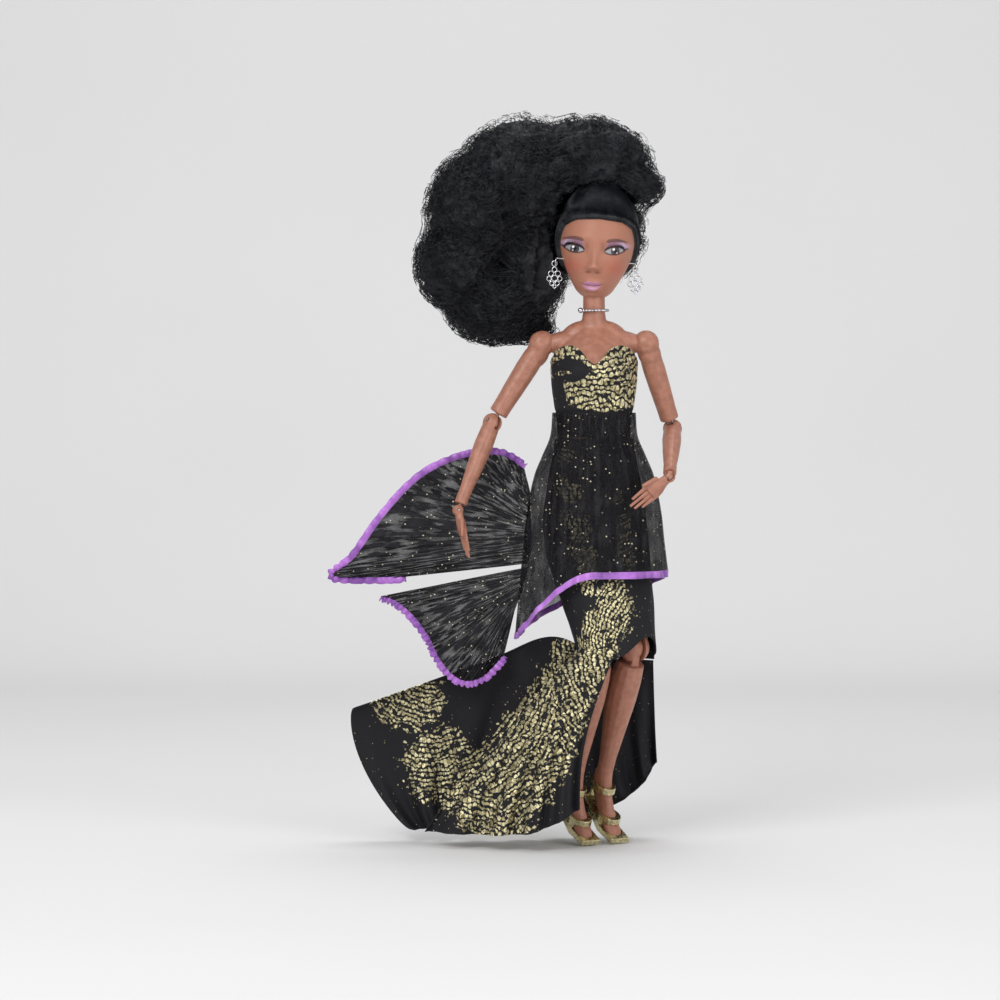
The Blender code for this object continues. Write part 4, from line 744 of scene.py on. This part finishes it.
def paint_face(points):
    """Colour and gloss of each point of the head: blush, eyeshadow, brows, eyes, lashes and lips, with painted
    highlights on the nose, chin and lower lip and painted shade at the nostrils and beside the nose bridge.
    """
    x = points[:, 0] / MM - FACE_X
    z = points[:, 2] / MM
    front = points[:, 1] < 0.0
    colour = np.tile(np.array(SKIN), (len(x), 1))
    gloss = np.zeros(len(x))

    def lay(mask, tint, strength=1.0, shine=None):
        share = np.clip(mask * strength, 0.0, 1.0) * front
        colour[:] = colour * (1.0 - share[:, None]) + np.array(tint) * share[:, None]
        if shine is not None:
            gloss[:] = gloss * (1.0 - share) + shine * share

    mirror = np.abs(x)
    lay(bump(mirror, z, 10.0, 9.6, 4.6, 3.6), (0.46, 0.115, 0.075), 0.65)
    # Painted highlights: paler skin on the nose tip and on the chin.
    lay(bump(x, z, 0.0, 9.8, 1.2, 1.5), (0.55, 0.29, 0.20), 0.45)
    lay(bump(x, z, 0.0, -3.0, 3.2, 1.2), (0.50, 0.25, 0.17), 0.35)
    # Painted shade: darker skin under the nose at the nostrils and in the hollows beside the nose bridge.
    lay(bump(mirror, z, 2.0, 7.3, 1.1, 0.45), (0.14, 0.045, 0.03), 0.8)
    lay(bump(mirror, z, 3.6, 18.5, 1.1, 2.8), (0.19, 0.075, 0.05), 0.45)
    out = mirror - 9.05
    lid = 17.3 + 0.10 * out
    half = 4.35
    u = out / half
    upper = lid + 1.85 * np.sqrt(np.clip(1.0 - u * u, 0.0, 1.0)) * (1.0 + 0.16 * u)
    lower = lid - 1.40 * np.clip(1.0 - u * u, 0.0, 1.0) + 0.25 * u
    shadow = ease(z, upper - 0.4, upper + 0.5) * ease(z, upper + 4.1, upper + 1.6)
    reach = ease(out, -4.9, -2.8) * ease(out, 7.4, 4.0)
    lay(shadow * reach, (0.30, 0.155, 0.27), 0.85)
    lay(shadow * bump(out, z, 3.9, 20.4, 2.6, 1.2), (0.62, 0.48, 0.66), 0.9)
    inside = ease(z, lower - 0.06, lower + 0.06) * ease(z, upper + 0.06, upper - 0.06) * (np.abs(u) < 1.0)
    lay(inside, (0.34, 0.34, 0.37), 1.0, 1.0)
    iris_x = np.where(x < 0, -0.25, 0.25)
    iris = np.hypot(out - iris_x, (z - 17.35))
    lay(inside * ease(iris, 2.05, 1.90), (0.030, 0.034, 0.040), 1.0, 1.0)
    lay(inside * ease(iris, 1.75, 1.50), (0.035, 0.037, 0.045), 1.0, 1.0)
    spokes = 0.5 + 0.5 * np.sin(np.arctan2(z - 17.35, out - iris_x) * 22.0)
    lay(inside * ease(iris, 1.75, 1.55) * spokes, (0.09, 0.10, 0.12), 0.7, 1.0)
    lay(inside * ease(iris, 0.95, 0.82), (0.004, 0.004, 0.005), 1.0, 1.0)
    spot = np.hypot(x * np.sign(x) - 9.05 - iris_x + 0.75 * np.sign(x), z - 18.15)
    lay(inside * ease(spot, 0.62, 0.46), (1.0, 1.0, 1.0), 1.0, 1.0)
    lay(inside * ease(np.hypot(out - iris_x - 0.8, z - 16.6), 0.36, 0.24), (0.75, 0.78, 0.82), 0.9, 1.0)
    lay(inside * ease(z, upper - 0.75, upper - 0.1), (0.02, 0.018, 0.02), 0.55)
    top_line = ease(np.abs(z - upper - 0.34), 0.85 + 0.20 * u, 0.45) * ease(np.abs(u), 1.14, 1.0)
    lay(top_line, (0.006, 0.005, 0.006), 1.0, 0.4)
    wing = ease(np.abs(z - (18.1 + 0.42 * (out - 4.0))), 0.45, 0.18)
    wing = wing * ease(out, 3.6, 4.2) * ease(out, 6.6, 5.2)
    lay(wing, (0.006, 0.005, 0.006), 1.0)
    low_line = ease(np.abs(z - lower + 0.16), 0.42, 0.18) * ease(np.abs(u), 1.08, 0.98)
    lay(low_line, (0.012, 0.009, 0.011), 0.9)
    lashes = (0.5 + 0.5 * np.sin(out * 9.0)) ** 2 * ease(out, -0.5, 2.0) * ease(out, 4.9, 4.2)
    lay(lashes * ease(z, lower - 1.1, lower - 0.2) * ease(z, lower, lower - 0.1), (0.012, 0.009, 0.011), 0.55)
    crease = ease(np.abs(z - upper - 1.45), 0.34, 0.12) * ease(np.abs(u), 0.95, 0.7)
    lay(crease, (0.10, 0.045, 0.06), 0.6)
    arch = 21.3 + 0.32 * (mirror - 5.0) - 0.030 * (mirror - 5.0) ** 2
    body = 0.78 * ease(mirror, 4.6, 6.2) * (1.0 - 0.72 * ease(mirror, 9.0, 15.0))
    hairs = 0.75 + 0.25 * np.sin(mirror * 8.0 + z * 5.0)
    brow = ease(np.abs(z - arch), body + 0.22, np.maximum(body - 0.12, 0.01)) * ease(mirror, 4.4, 5.2)
    lay(brow * ease(mirror, 15.2, 14.0) * hairs, (0.045, 0.020, 0.014), 0.92)
    wide = np.clip(1.0 - (x / 4.35) ** 2, 0.0, 1.0)
    cupid = 0.42 * np.exp(-(x / 0.85) ** 2) - 0.22 * np.exp(-((mirror - 1.3) / 0.8) ** 2)
    corner = 1.25 + 0.045 * x * x
    lip = ease(z, corner - 2.35 * wide ** 0.6 - 0.05, corner - 2.35 * wide ** 0.6 + 0.18)
    lip_top = corner + (2.0 - cupid) * wide ** 0.7
    lip = lip * ease(z, lip_top + 0.05, lip_top - 0.18)
    lip = lip * (mirror < 4.35)
    lay(lip, (0.50, 0.235, 0.36), 0.95, 0.85)
    # Painted highlight: a paler, glossier patch on the middle of the lower lip.
    lay(lip * bump(x, z, 0.3, -0.1, 2.2, 0.6), (0.78, 0.46, 0.62), 0.85, 1.0)
    lay(ease(np.abs(z - corner), 0.24, 0.10) * ease(mirror, 4.9, 4.0), (0.13, 0.035, 0.045), 0.85, 0.3)
    return colour, gloss


def build_head():
    """A dense ball, closer-grained at the face, pushed to the skull's form and painted."""
    across = 300
    down = 216

    def place(s, t):
        turn = 2.0 * s - 1.0
        azimuth = -pi / 2 + pi * (0.42 * turn + 0.58 * turn ** 3)
        level = cos(pi * t)
        level = level * 0.80 + 0.20 * level ** 3
        flat = max(0.0, 1.0 - level * level) ** 0.5
        return (flat * cos(azimuth), flat * sin(azimuth), level)

    head = sheet_grid("painted_head", place, across, down)
    unit = coordinates(head)
    points = skull_point(unit[:, 0], unit[:, 1], unit[:, 2])
    points = sculpt_face(points)
    colour, gloss = paint_face(points)
    paint = head.data.attributes.new("paint", "FLOAT_COLOR", "POINT")
    paint.data.foreach_set("color", np.concatenate([colour, np.ones((len(colour), 1))], 1).ravel())
    shine = head.data.attributes.new("gloss", "FLOAT", "POINT")
    shine.data.foreach_set("value", gloss)
    set_coordinates(head, points)
    head.data.transform(HEAD_FRAME)
    merge_points(head, 2e-6, True)
    finish_piece(head, "head", PAINTED_FACE, ("head",), 80.0)


# Hair

def hairline_level(azimuth):
    """Lower edge of the smooth hair on the skull, by angle from the face, as a height in the head's frame."""
    away = abs(azimuth) * 180.0 / pi
    return float(np.interp(away, (0.0, 40.0, 66.0, 84.0, 96.0, 120.0, 180.0),
                           (31.0, 30.2, 27.5, 20.0, 9.0, 6.5, 6.0))) * MM


def cap_point(azimuth, t, offset):
    """A point of the smooth hair: t runs from the crown to the hairline."""
    line = (hairline_level(azimuth) - HEAD_RISE) / (HEAD_HEIGHT / 2)
    polar = np.arccos(np.clip(line, -1.0, 1.0)) * t
    turn = azimuth - pi / 2
    flat = sin(polar)
    direction = [np.float64(value) for value in (flat * cos(turn), flat * sin(turn), cos(polar))]
    return skull_point(*direction, offset)


def tube_mesh(name, paths, radius, taper):
    """Many fine three-sided strands, closed at both ends, as one mesh."""
    count, steps, _ = paths.shape
    run = np.gradient(paths, axis=1)
    run /= np.linalg.norm(run, axis=2, keepdims=True) + 1e-12
    lean = np.array([0.31, 0.23, 0.92])
    side = np.cross(run, lean)
    side /= np.linalg.norm(side, axis=2, keepdims=True) + 1e-12
    other = np.cross(run, side)
    turn = 2 * pi * np.arange(3) / 3
    width = (radius * taper)[None, :, None, None]
    ring = (paths[:, :, None, :] + width * (np.cos(turn)[None, None, :, None] * side[:, :, None, :]
                                            + np.sin(turn)[None, None, :, None] * other[:, :, None, :]))
    start = (np.arange(count) * steps * 3)[:, None, None] + (np.arange(steps - 1) * 3)[None, :, None]
    k = np.arange(3)[None, None, :]
    after = (np.arange(3) + 1)[None, None, :] % 3
    quads = np.stack([start + k, start + after, start + 3 + after, start + 3 + k], -1).reshape(-1, 4)
    first = np.arange(count) * steps * 3
    last = first + (steps - 1) * 3
    ends = [(int(a) + 2, int(a) + 1, int(a)) for a in first]
    ends += [(int(a), int(a) + 1, int(a) + 2) for a in last]
    mesh = bpy.data.meshes.new(name)
    mesh.from_pydata(ring.reshape(-1, 3).tolist(), [], quads.tolist() + ends)
    obj = bpy.data.objects.new(name, mesh)
    bpy.context.scene.collection.objects.link(obj)
    return obj


def build_smooth_hair():
    """The close cap and its combed fringe."""
    def place(s, t):
        azimuth = 2 * pi * (s - 0.5)
        roll = 1.0 - max(0.0, (t - 0.93) / 0.07) ** 2
        groove = 0.10 * MM * noise.noise(Vector((azimuth * 26.0, t * 1.5, 3.0))) * min(1.0, 8.0 * t)
        return cap_point(azimuth, t, GAP / 2 + (HAIR_THICKNESS - GAP / 2) * max(0.0, roll) ** 0.5 + groove)

    cap = sheet_grid("smooth_hair", place, 260, 60)
    cap.data.transform(HEAD_FRAME)
    merge_points(cap, 2e-6, True)
    finish_piece(cap, "head", COMBED_HAIR, ("hair_cap",), 70.0)
    paths = []
    for k in range(2200):
        azimuth = RANDOM.uniform(-1.5, 1.5)
        start = RANDOM.uniform(0.10, 0.50)
        drift = RANDOM.normal(0.0, 0.05)
        lift = RANDOM.uniform(0.02, 0.30) * MM
        path = []
        for i in range(11):
            t = start + (0.995 - start) * i / 10
            roll = max(0.0, 1.0 - max(0.0, (t - 0.93) / 0.07) ** 2) ** 0.5
            above = GAP / 2 + lift + (HAIR_THICKNESS - GAP / 2) * roll
            path.append(cap_point(azimuth + drift * i / 10, t, above))
        paths.append(path)
    taper = np.linspace(1.0, 0.5, 11)
    fringe = tube_mesh("fringe_strands", np.array(paths), 0.13 * MM, taper)
    fringe.data.transform(HEAD_FRAME)
    finish_piece(fringe, "head", HAIR, (), 80.0)


def hair_allowed(p):
    """Whether a place in the head's frame may hold curls: off the face, the ears, the neck and the cap."""
    x, y, z = p
    if y < HEAD_DEPTH * 0.05 and z < CURL_LINE and x > -HEAD_WIDTH * 0.52:
        return False
    if y < HEAD_DEPTH * 0.06 and z < HEAD_RISE * 0.85 and x > -HEAD_WIDTH * 0.52 - 8.0 * MM:
        return False
    if z < HEAD_RISE * 0.20 and x > -HEAD_WIDTH * 0.36:
        return False
    level = (z - HEAD_RISE) / (HEAD_HEIGHT / 2 + HAIR_THICKNESS)
    return (x / (HEAD_WIDTH / 2 + HAIR_THICKNESS)) ** 2 + (y / (HEAD_DEPTH / 2 + HAIR_THICKNESS)) ** 2 \
        + level ** 2 > 1.0


def build_curls():
    """A lumpy dark core and thousands of coiled strands standing out of it."""
    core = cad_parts["hair_curls"].copy()
    core.data = core.data.copy()
    bpy.context.scene.collection.objects.link(core)
    for key in list(core.keys()):
        del core[key]
    core.parent = None
    core.name = "curl_core"
    merge_points(core)
    apply_modifier(core, "REMESH", mode="VOXEL", voxel_size=1.1 * MM)
    apply_modifier(core, "SMOOTH", factor=0.5, iterations=8)
    only(core)
    co = coordinates(core)
    normals = np.empty(len(co) * 3)
    core.data.vertices.foreach_get("normal", normals)
    normals = normals.reshape(-1, 3)
    lumps = np.array([noise.noise(Vector(p) * 260.0) + 0.5 * noise.noise(Vector(p) * 620.0) for p in co])
    set_coordinates(core, co + normals * (-1.5 + 1.5 * lumps)[:, None] * MM)
    finish_piece(core, "head", HAIR, ("hair_curls",), 80.0)
    size = np.array(HAIR_SIZE)
    centres = np.array([(c[0], c[2], c[1]) for c, _ in CURL_SHARES]) * size + (0.0, 0.0, HEAD_RISE)
    halves = np.array([(h[0], h[2], h[1]) for _, h in CURL_SHARES]) * size
    weight = np.prod(halves, axis=1) ** (2.0 / 3.0)
    weight /= weight.sum()
    steps = 14
    paths = []
    while len(paths) < CURL_COUNT:
        k = RANDOM.choice(len(centres), p=weight)
        out = RANDOM.normal(size=3)
        out /= np.linalg.norm(out)
        start = centres[k] + out * halves[k] * RANDOM.uniform(0.80, 0.97)
        inner = ((start - centres) / halves) ** 2
        if (inner.sum(axis=1) < 0.60).any():
            continue
        flow = out * 0.55 + np.array([-0.25, 0.0, -0.55]) + RANDOM.normal(0.0, 0.45, 3)
        flow /= np.linalg.norm(flow)
        side = np.cross(flow, RANDOM.normal(size=3))
        side /= np.linalg.norm(side)
        other = np.cross(flow, side)
        length = RANDOM.uniform(9.0, 17.0) * MM
        coil = RANDOM.uniform(0.7, 1.7) * MM
        turns = RANDOM.uniform(1.6, 3.4)
        share = np.linspace(0.0, 1.0, steps)[:, None]
        angle = 2 * pi * turns * share + RANDOM.uniform(0.0, 2 * pi)
        path = start + flow * length * share + coil * (side * np.cos(angle) + other * np.sin(angle))
        reach = np.sqrt((((path[:, None, :] - centres) / halves) ** 2).sum(axis=2))
        nearest = reach.argmin(axis=1)
        depth = reach.min(axis=1)
        limit = RANDOM.uniform(0.96, 1.10)
        pull = np.where(depth > limit, limit / depth, 1.0)[:, None]
        path = centres[nearest] + (path - centres[nearest]) * pull
        if not all(hair_allowed(p) for p in path[::3]):
            continue
        paths.append(path)
    taper = np.concatenate([np.linspace(0.75, 1.0, 5), np.linspace(1.0, 0.45, steps - 5)])
    paths = np.array(paths)
    for k in range(CURL_PIECES):
        strands = tube_mesh(f"curls_{k + 1}", paths[k::CURL_PIECES], 0.14 * MM, taper)
        strands.data.transform(HEAD_FRAME)
        finish_piece(strands, "head", HAIR, (), 80.0)


# Jewels

def bead(name, radius, centre, segments=16):
    bpy.ops.object.select_all(action="DESELECT")
    bpy.ops.mesh.primitive_uv_sphere_add(segments=segments, ring_count=segments // 2, radius=radius,
                                         location=centre)
    obj = bpy.context.object
    obj.name = name
    bpy.ops.object.transform_apply(location=True, rotation=True, scale=True)
    return obj


def joined(name, parts):
    bpy.ops.object.select_all(action="DESELECT")
    for part in parts:
        part.select_set(True)
    bpy.context.view_layer.objects.active = parts[0]
    bpy.ops.object.join()
    obj = bpy.context.object
    obj.name = name
    obj.data.name = name
    return obj


def build_choker():
    """A ball chain round the neck with one large ball and a plain bar at the front."""
    neck_width, _, shift = TORSO.at(56.5 * MM)
    radius = neck_width + GAP + 0.9 * MM
    parts = []
    count = 26
    for i in range(count):
        turn = 2 * pi * i / count
        front = -90.0 <= (turn * 180.0 / pi - 360.0 * (turn > pi)) <= -20.0
        if front and i % 26 in (22, 23, 24):
            continue
        centre = (radius * cos(turn), shift + radius * sin(turn), 56.5 * MM)
        parts.append(bead("bead", 0.72 * MM, centre, 12))
    bpy.ops.mesh.primitive_torus_add(major_radius=radius, minor_radius=0.24 * MM, major_segments=72,
                                     minor_segments=8, location=(0.0, shift, 56.5 * MM))
    parts.append(bpy.context.object)
    bpy.ops.object.transform_apply(location=True, rotation=True, scale=True)
    for i in range(7):
        turn = radians(-52.0 + 6.0 * i)
        centre = (radius * cos(turn), shift + radius * sin(turn), 56.5 * MM)
        parts.append(bead("bar", 0.62 * MM, centre, 12))
    turn = radians(-158.0)
    place = (1.06 * radius * cos(turn), shift + 1.06 * radius * sin(turn), 56.5 * MM)
    parts.append(bead("large", 1.25 * MM, place, 24))
    finish_piece(joined("ball_chain_choker", parts), "chest", SILVER, ("choker",), 60.0)


def build_earrings():
    """A hook and an openwork drop of small loops, in the plane of the CAD drop."""
    for side in ("right", "left"):
        low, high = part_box(side + "_earring_drop")
        middle = (low + high) / 2
        parts = []
        span = high.z - low.z
        for x, level, loop in ((0.0, 0.92, 0.115), (0.0, 0.70, 0.105), (-0.13, 0.55, 0.115), (0.13, 0.55, 0.115),
                               (-0.20, 0.36, 0.10), (0.20, 0.36, 0.10), (0.0, 0.38, 0.125), (-0.10, 0.19, 0.095),
                               (0.10, 0.19, 0.095), (0.0, 0.07, 0.075)):
            centre = (middle.x + x * span, middle.y, low.z + level * span)
            bpy.ops.object.select_all(action="DESELECT")
            bpy.ops.mesh.primitive_torus_add(major_radius=loop * span - 0.22 * MM, minor_radius=0.24 * MM,
                                             major_segments=22, minor_segments=8, location=centre,
                                             rotation=(pi / 2, 0.0, 0.0))
            bpy.ops.object.transform_apply(location=True, rotation=True, scale=True)
            parts.append(bpy.context.object)
            parts.append(bead("stone", 0.30 * MM, (centre[0], centre[1], centre[2] - loop * span), 10))
        finish_piece(joined(side + "_openwork_drop", parts), side + "_earring", SILVER,
                     (side + "_earring_drop",), 60.0)
        refined(side + "_earring_hook", side + "_ear_wire", "head", SILVER, 0.10 * MM, 2)


# Gown

def neckline(angle):
    """Height of the bodice's top edge: two peaks at the front, a dip between them, lower at the back."""
    front = max(0.0, -sin(angle))
    dip = BODICE_V_DEPTH * exp(-(cos(angle) / 0.30) ** 2) * front
    back = BODICE_BACK_DROP * max(0.0, sin(angle))
    armhole = BODICE_SIDE_DROP * cos(angle) ** 8
    return BODICE_TOP - dip - back - armhole


def torso_point(angle, z, offset=0.0):
    """A point on the torso, with the bust swelling forward."""
    point = TORSO.point(angle, z, offset)
    if sin(angle) < 0:
        skin_x = TORSO.point(angle, z).x
        for side in (-1, 1):
            sideways = (skin_x - side * BUST_SPREAD) / BUST_SIZE
            upward = (z - BUST_Z) / BUST_SIZE
            point.y -= BUST_DEPTH * exp(-sideways * sideways - upward * upward) * -sin(angle)
    return point


def build_bodice():
    def place(s, t):
        angle = pi / 2 + 2 * pi * s
        z = neckline(angle) + (BODICE_FOOT - neckline(angle)) * t
        ruck = 0.16 * MM * noise.noise(Vector((cos(angle) * 9.0, sin(angle) * 9.0, z * 260.0)))
        seam = -0.30 * MM * exp(-((z / MM - SEAM_Z) / 0.5) ** 2)
        return torso_point(angle, z, 2.4 * GAP + CLOTH * 0.9 + ruck + seam)

    bodice = sheet_grid("gold_bodice", place, 220, 70, bodice_cells)
    merge_points(bodice, 2e-6, True)
    thicken(bodice, 0.7 * MM, -1.0)
    finish_piece(bodice, "chest", GOLD_ROWS, ("bodice",), 60.0)

    def strip(s, t):
        top = neckline(pi / 2) - CLOTH
        z = BODICE_FOOT + CLOTH + (top - BODICE_FOOT - CLOTH) * t
        half_depth = torso_point(pi / 2, z, 3 * GAP + 2.2 * CLOTH)
        fold = 0.15 * MM * cos(2 * pi * (s - 0.5) * 2)
        return Vector(((s - 0.5) * 5.0 * MM, half_depth.y + fold, z))

    closure = sheet_grid("back_closure_tape", strip, 12, 60, front_cells)
    thicken(closure, 0.6 * MM)
    finish_piece(closure, "chest", GOLD_SWIRLS, ("back_closure",))


def build_gown():
    """The fitted gown from waist to knees, turned by the hips' yaw."""
    def place(s, t):
        angle = pi / 2 + 2 * pi * s
        slit = 11.0 * MM * exp(-(((angle % (2 * pi)) - radians(300.0)) / 0.75) ** 2)
        z = GOWN_TOP + (GOWN_FOOT + slit - GOWN_TOP) * t
        crease = 0.35 * MM * noise.noise(Vector((cos(angle) * 3.0, sin(angle) * 3.0, z * 120.0)))
        return YAW @ GOWN.point(angle, z, CLOTH + crease)

    gown = sheet_grid("fitted_gown", place, 240, 130, tube_cells)
    merge_points(gown, 2e-6, True)
    thicken(gown, 0.7 * MM, -1.0)
    finish_piece(gown, None, GOLD_SWIRLS, ("gown_hips", "gown_knees"), 60.0)
    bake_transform(gown)


def overskirt_hem(angle):
    """Hem height: highest at the front, dropping to the doll's right and the back."""
    left = max(0.0, -cos(angle)) ** 2
    back = max(0.0, sin(angle)) ** 2
    return OVERSKIRT_FRONT - OVERSKIRT_LEFT_DROP * left - OVERSKIRT_BACK_DROP * back


def pleat(angle, t):
    return MM * t * (0.45 * sin(17.0 * angle + 1.2 * sin(3.0 * angle)) + 0.22 * sin(41.0 * angle))


def build_overskirt():
    def place(s, t):
        angle = pi / 2 + 2 * pi * s
        z = OVERSKIRT_TOP + (overskirt_hem(angle) - OVERSKIRT_TOP) * t
        return OVERSKIRT.point(angle, z, 0.5 * CLOTH + pleat(angle, t))

    skirt = sheet_grid("tulle_overskirt", place, 300, 60)
    merge_points(skirt, 2e-6, True)
    cut = cut_size(skirt, place)
    thicken(skirt, 0.22 * MM)
    finish_piece(skirt, None, TULLE, ("overskirt",), 70.0)
    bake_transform(skirt)

    def hem(s, t):
        angle = pi / 2 + 2 * pi * s
        z = overskirt_hem(angle) - GAP - RIBBON_WIDTH * t + 0.5 * MM
        twist = 0.5 * MM * sin(2 * pi * 9 * s) * t
        return OVERSKIRT.point(angle, z, 0.6 * CLOTH + pleat(angle, 1.0) + twist)

    ribbon = sheet_grid("overskirt_ribbon", hem, 300, 6)
    merge_points(ribbon, 2e-6, True)
    thicken(ribbon, 0.5 * MM)
    finish_piece(ribbon, "lower_torso", SATIN, ("hem_ribbon",), 60.0)
    return skirt, ribbon


def fan_place(edge_shares, root_shares, start_y, reach_from, reach_to):
    """Points of a fan layer: s runs along its edge, t from the hip to the edge."""
    def place(s, t):
        edge = smooth_track(edge_shares, s)
        root = smooth_track(root_shares, s)
        share = reach_from + (reach_to - reach_from) * t
        x = FAN_ROOT_X + (root[0] + (edge[0] - root[0]) * share) * FAN_WIDTH
        z = FAN_ROOT_Z + (root[1] + (edge[1] - root[1]) * share) * FAN_HEIGHT
        spread = max(0.0, min(share, 1.0))
        y = start_y + FAN_WAVE * sin(2 * pi * FAN_WAVES * s) * spread ** 1.5
        y += 0.45 * MM * sin(2 * pi * 31 * s + 3.0 * share) * spread
        return Vector((x, y, z))
    return place


def fan_cut(fan):
    """A fan's flat cut: its seen box, wider by what its folds take up, and its area."""
    spans = coordinates(fan).max(axis=0) - coordinates(fan).min(axis=0)
    area = sum(face.area for face in fan.data.polygons)
    seen = sum(face.area * abs(face.normal.y) for face in fan.data.polygons)
    return float(spans[0]) * area / seen, float(spans[2]), area


def build_fan(name, edge_shares, root_shares, start_y, node):
    place = fan_place(edge_shares, root_shares, start_y, -0.05, 1.0)
    fan = sheet_grid(name, place, 240, 60)
    cut = fan_cut(fan)
    thicken(fan, 0.22 * MM)
    finish_piece(fan, "lower_torso", LACE, (node,), 70.0)
    inner = fan_place(edge_shares, root_shares, start_y, 1.0, 1.0)
    centre = fan_place(edge_shares, root_shares, start_y, 0.0, 0.0)

    def ribbon_place(s, t):
        point = inner(s, 1.0)
        run = (inner(min(s + 0.01, 1.0), 1.0) - inner(max(s - 0.01, 0.0), 1.0)).normalized()
        outward = Vector((run.z, 0.0, -run.x))
        if outward.dot(point - centre(s, 0.0)) < 0:
            outward = -outward
        return point + outward * (RIBBON_WIDTH * t - 0.3 * MM) + Vector((0.0, -0.5 * MM * sin(pi * t), 0.0))

    ribbon = sheet_grid(name + "_ribbon", ribbon_place, 240, 6)
    thicken(ribbon, 0.5 * MM)
    finish_piece(ribbon, "lower_torso", SATIN, (node + "_ribbon",), 60.0)
    return fan, ribbon


def train_place(s, t):
    top = smooth_track(TRAIN_TOP_SHARES, s)
    foot = smooth_track(TRAIN_FOOT_SHARES, s)
    x, y, z = [top[k] + (foot[k] - top[k]) * t for k in range(3)]
    flare = TRAIN_FLARE * sin(pi * t) ** 0.6
    wave = TRAIN_WAVE * sin(2 * pi * TRAIN_WAVES * s) * t
    wave += 0.8 * MM * sin(2 * pi * 21 * s + 4.0 * t) * t * t
    sideways = min(1.0, 2.0 * s)
    gather = 12.0 * MM * exp(-((s - 0.60) / 0.16) ** 2) * (1.0 - t) ** 2
    return Vector((TRAIN_X + x * TRAIN_WIDTH - flare * sideways, y * TRAIN_WIDTH + wave + flare,
                   TRAIN_Z + z * TRAIN_HEIGHT + gather))


def panel_place(s, t):
    """The gown's front panel: from the knee hem over the nearer leg, out to the train's left part."""
    top = smooth_track(PANEL_TOP_SHARES, s)
    foot = smooth_track(PANEL_FOOT_SHARES, s)
    x, y, z = [top[k] + (foot[k] - top[k]) * t for k in range(3)]
    wave = TRAIN_WAVE * sin(2 * pi * 4.5 * s) * t + 0.7 * MM * sin(2 * pi * 13 * s + 3.0 * t) * t
    lift = 7.0 * MM * (1.0 - t) ** 3
    return Vector((TRAIN_X + (x - 0.036 * sin(pi * t)) * TRAIN_WIDTH, y * TRAIN_WIDTH + wave - 0.25 * lift,
                   TRAIN_Z + z * TRAIN_HEIGHT + lift))


def build_train():
    train = sheet_grid("gown_train", train_place, 300, 90, front_cells)
    cut = cut_size(train, train_place)
    thicken(train, 0.45 * MM)
    finish_piece(train, "right_shin", GOLD_SWIRLS, ("train",), 70.0)
    panel = sheet_grid("gown_front_panel", panel_place, 200, 110, front_cells)
    cut = cut_size(panel, panel_place)
    thicken(panel, 0.45 * MM)
    finish_piece(panel, "right_shin", GOLD_SWIRLS, (), 70.0)
    return train, panel


# Stage, light and camera

def build_stage():
    bpy.ops.object.select_all(action="DESELECT")
    bpy.ops.mesh.primitive_grid_add(x_subdivisions=2, y_subdivisions=60, size=4.0, location=(0.0, 0.6, 0.0))
    floor = bpy.context.object
    floor.name = "floor"
    bpy.ops.object.transform_apply(location=True, rotation=True, scale=True)
    co = coordinates(floor)
    rise = np.clip(co[:, 1] - 0.9, 0.0, None)
    co[:, 2] = CAD_BOX[0][2] - 0.0006 + rise ** 2 * 1.3
    co[:, 1] = np.minimum(co[:, 1], 0.9 + 0.55 * rise)
    set_coordinates(floor, co)
    finish = Finish("pale_floor", (0.74, 0.735, 0.73), 0.8)
    tone = finish.noise(0.003, 2.0)
    finish.set("Base Color", finish.mix(tone, (0.71, 0.705, 0.70), (0.77, 0.765, 0.76)))
    floor.data.materials.append(finish.material)
    only(floor)
    bpy.ops.object.shade_smooth()


def add_lamp(name, location, power, size):
    lamp = bpy.data.lights.new(name, "AREA")
    lamp.energy = power
    lamp.size = size
    obj = bpy.data.objects.new(name, lamp)
    bpy.context.scene.collection.objects.link(obj)
    obj.location = location
    aim = Vector((-0.03, 0.0, -0.03)) - Vector(location)
    obj.rotation_euler = aim.to_track_quat("-Z", "Y").to_euler()


def build_light_and_camera():
    add_lamp("key", (-0.7, -1.3, 0.9), 15.0, 0.8)
    add_lamp("fill", (0.9, -1.1, 0.3), 7.0, 0.9)
    add_lamp("top", (0.0, 0.3, 1.2), 7.0, 0.8)
    world = bpy.data.worlds.new("soft_room")
    bpy.context.scene.world = world
    world.use_nodes = True
    background = world.node_tree.nodes["Background"]
    background.inputs[0].default_value = (0.86, 0.87, 0.90, 1.0)
    background.inputs[1].default_value = 0.55
    camera = bpy.data.cameras.new("camera")
    camera.lens = 160.0
    camera.sensor_width = 36.0
    obj = bpy.data.objects.new("camera", camera)
    bpy.context.scene.collection.objects.link(obj)
    obj.location = (-0.0423, -2.0, 0.046)
    aim = Vector((-0.0423, 0.0, -0.0288)) - obj.location
    obj.rotation_euler = aim.to_track_quat("-Z", "Y").to_euler()
    bpy.context.scene.camera = obj
    bpy.context.scene.view_settings.view_transform = "Standard"


build_body()
build_head()
build_smooth_hair()
build_curls()
build_choker()
build_earrings()
build_bodice()
build_gown()
build_overskirt()
build_fan("upper_tulle_fan", UPPER_FAN_EDGE_SHARES, UPPER_FAN_ROOT_SHARES, 2.0 * FAN_WAVE, "upper_fan")
build_fan("lower_tulle_fan", LOWER_FAN_EDGE_SHARES, LOWER_FAN_ROOT_SHARES, -1.5 * FAN_WAVE, "lower_fan")
build_train()
build_stage()
build_light_and_camera()
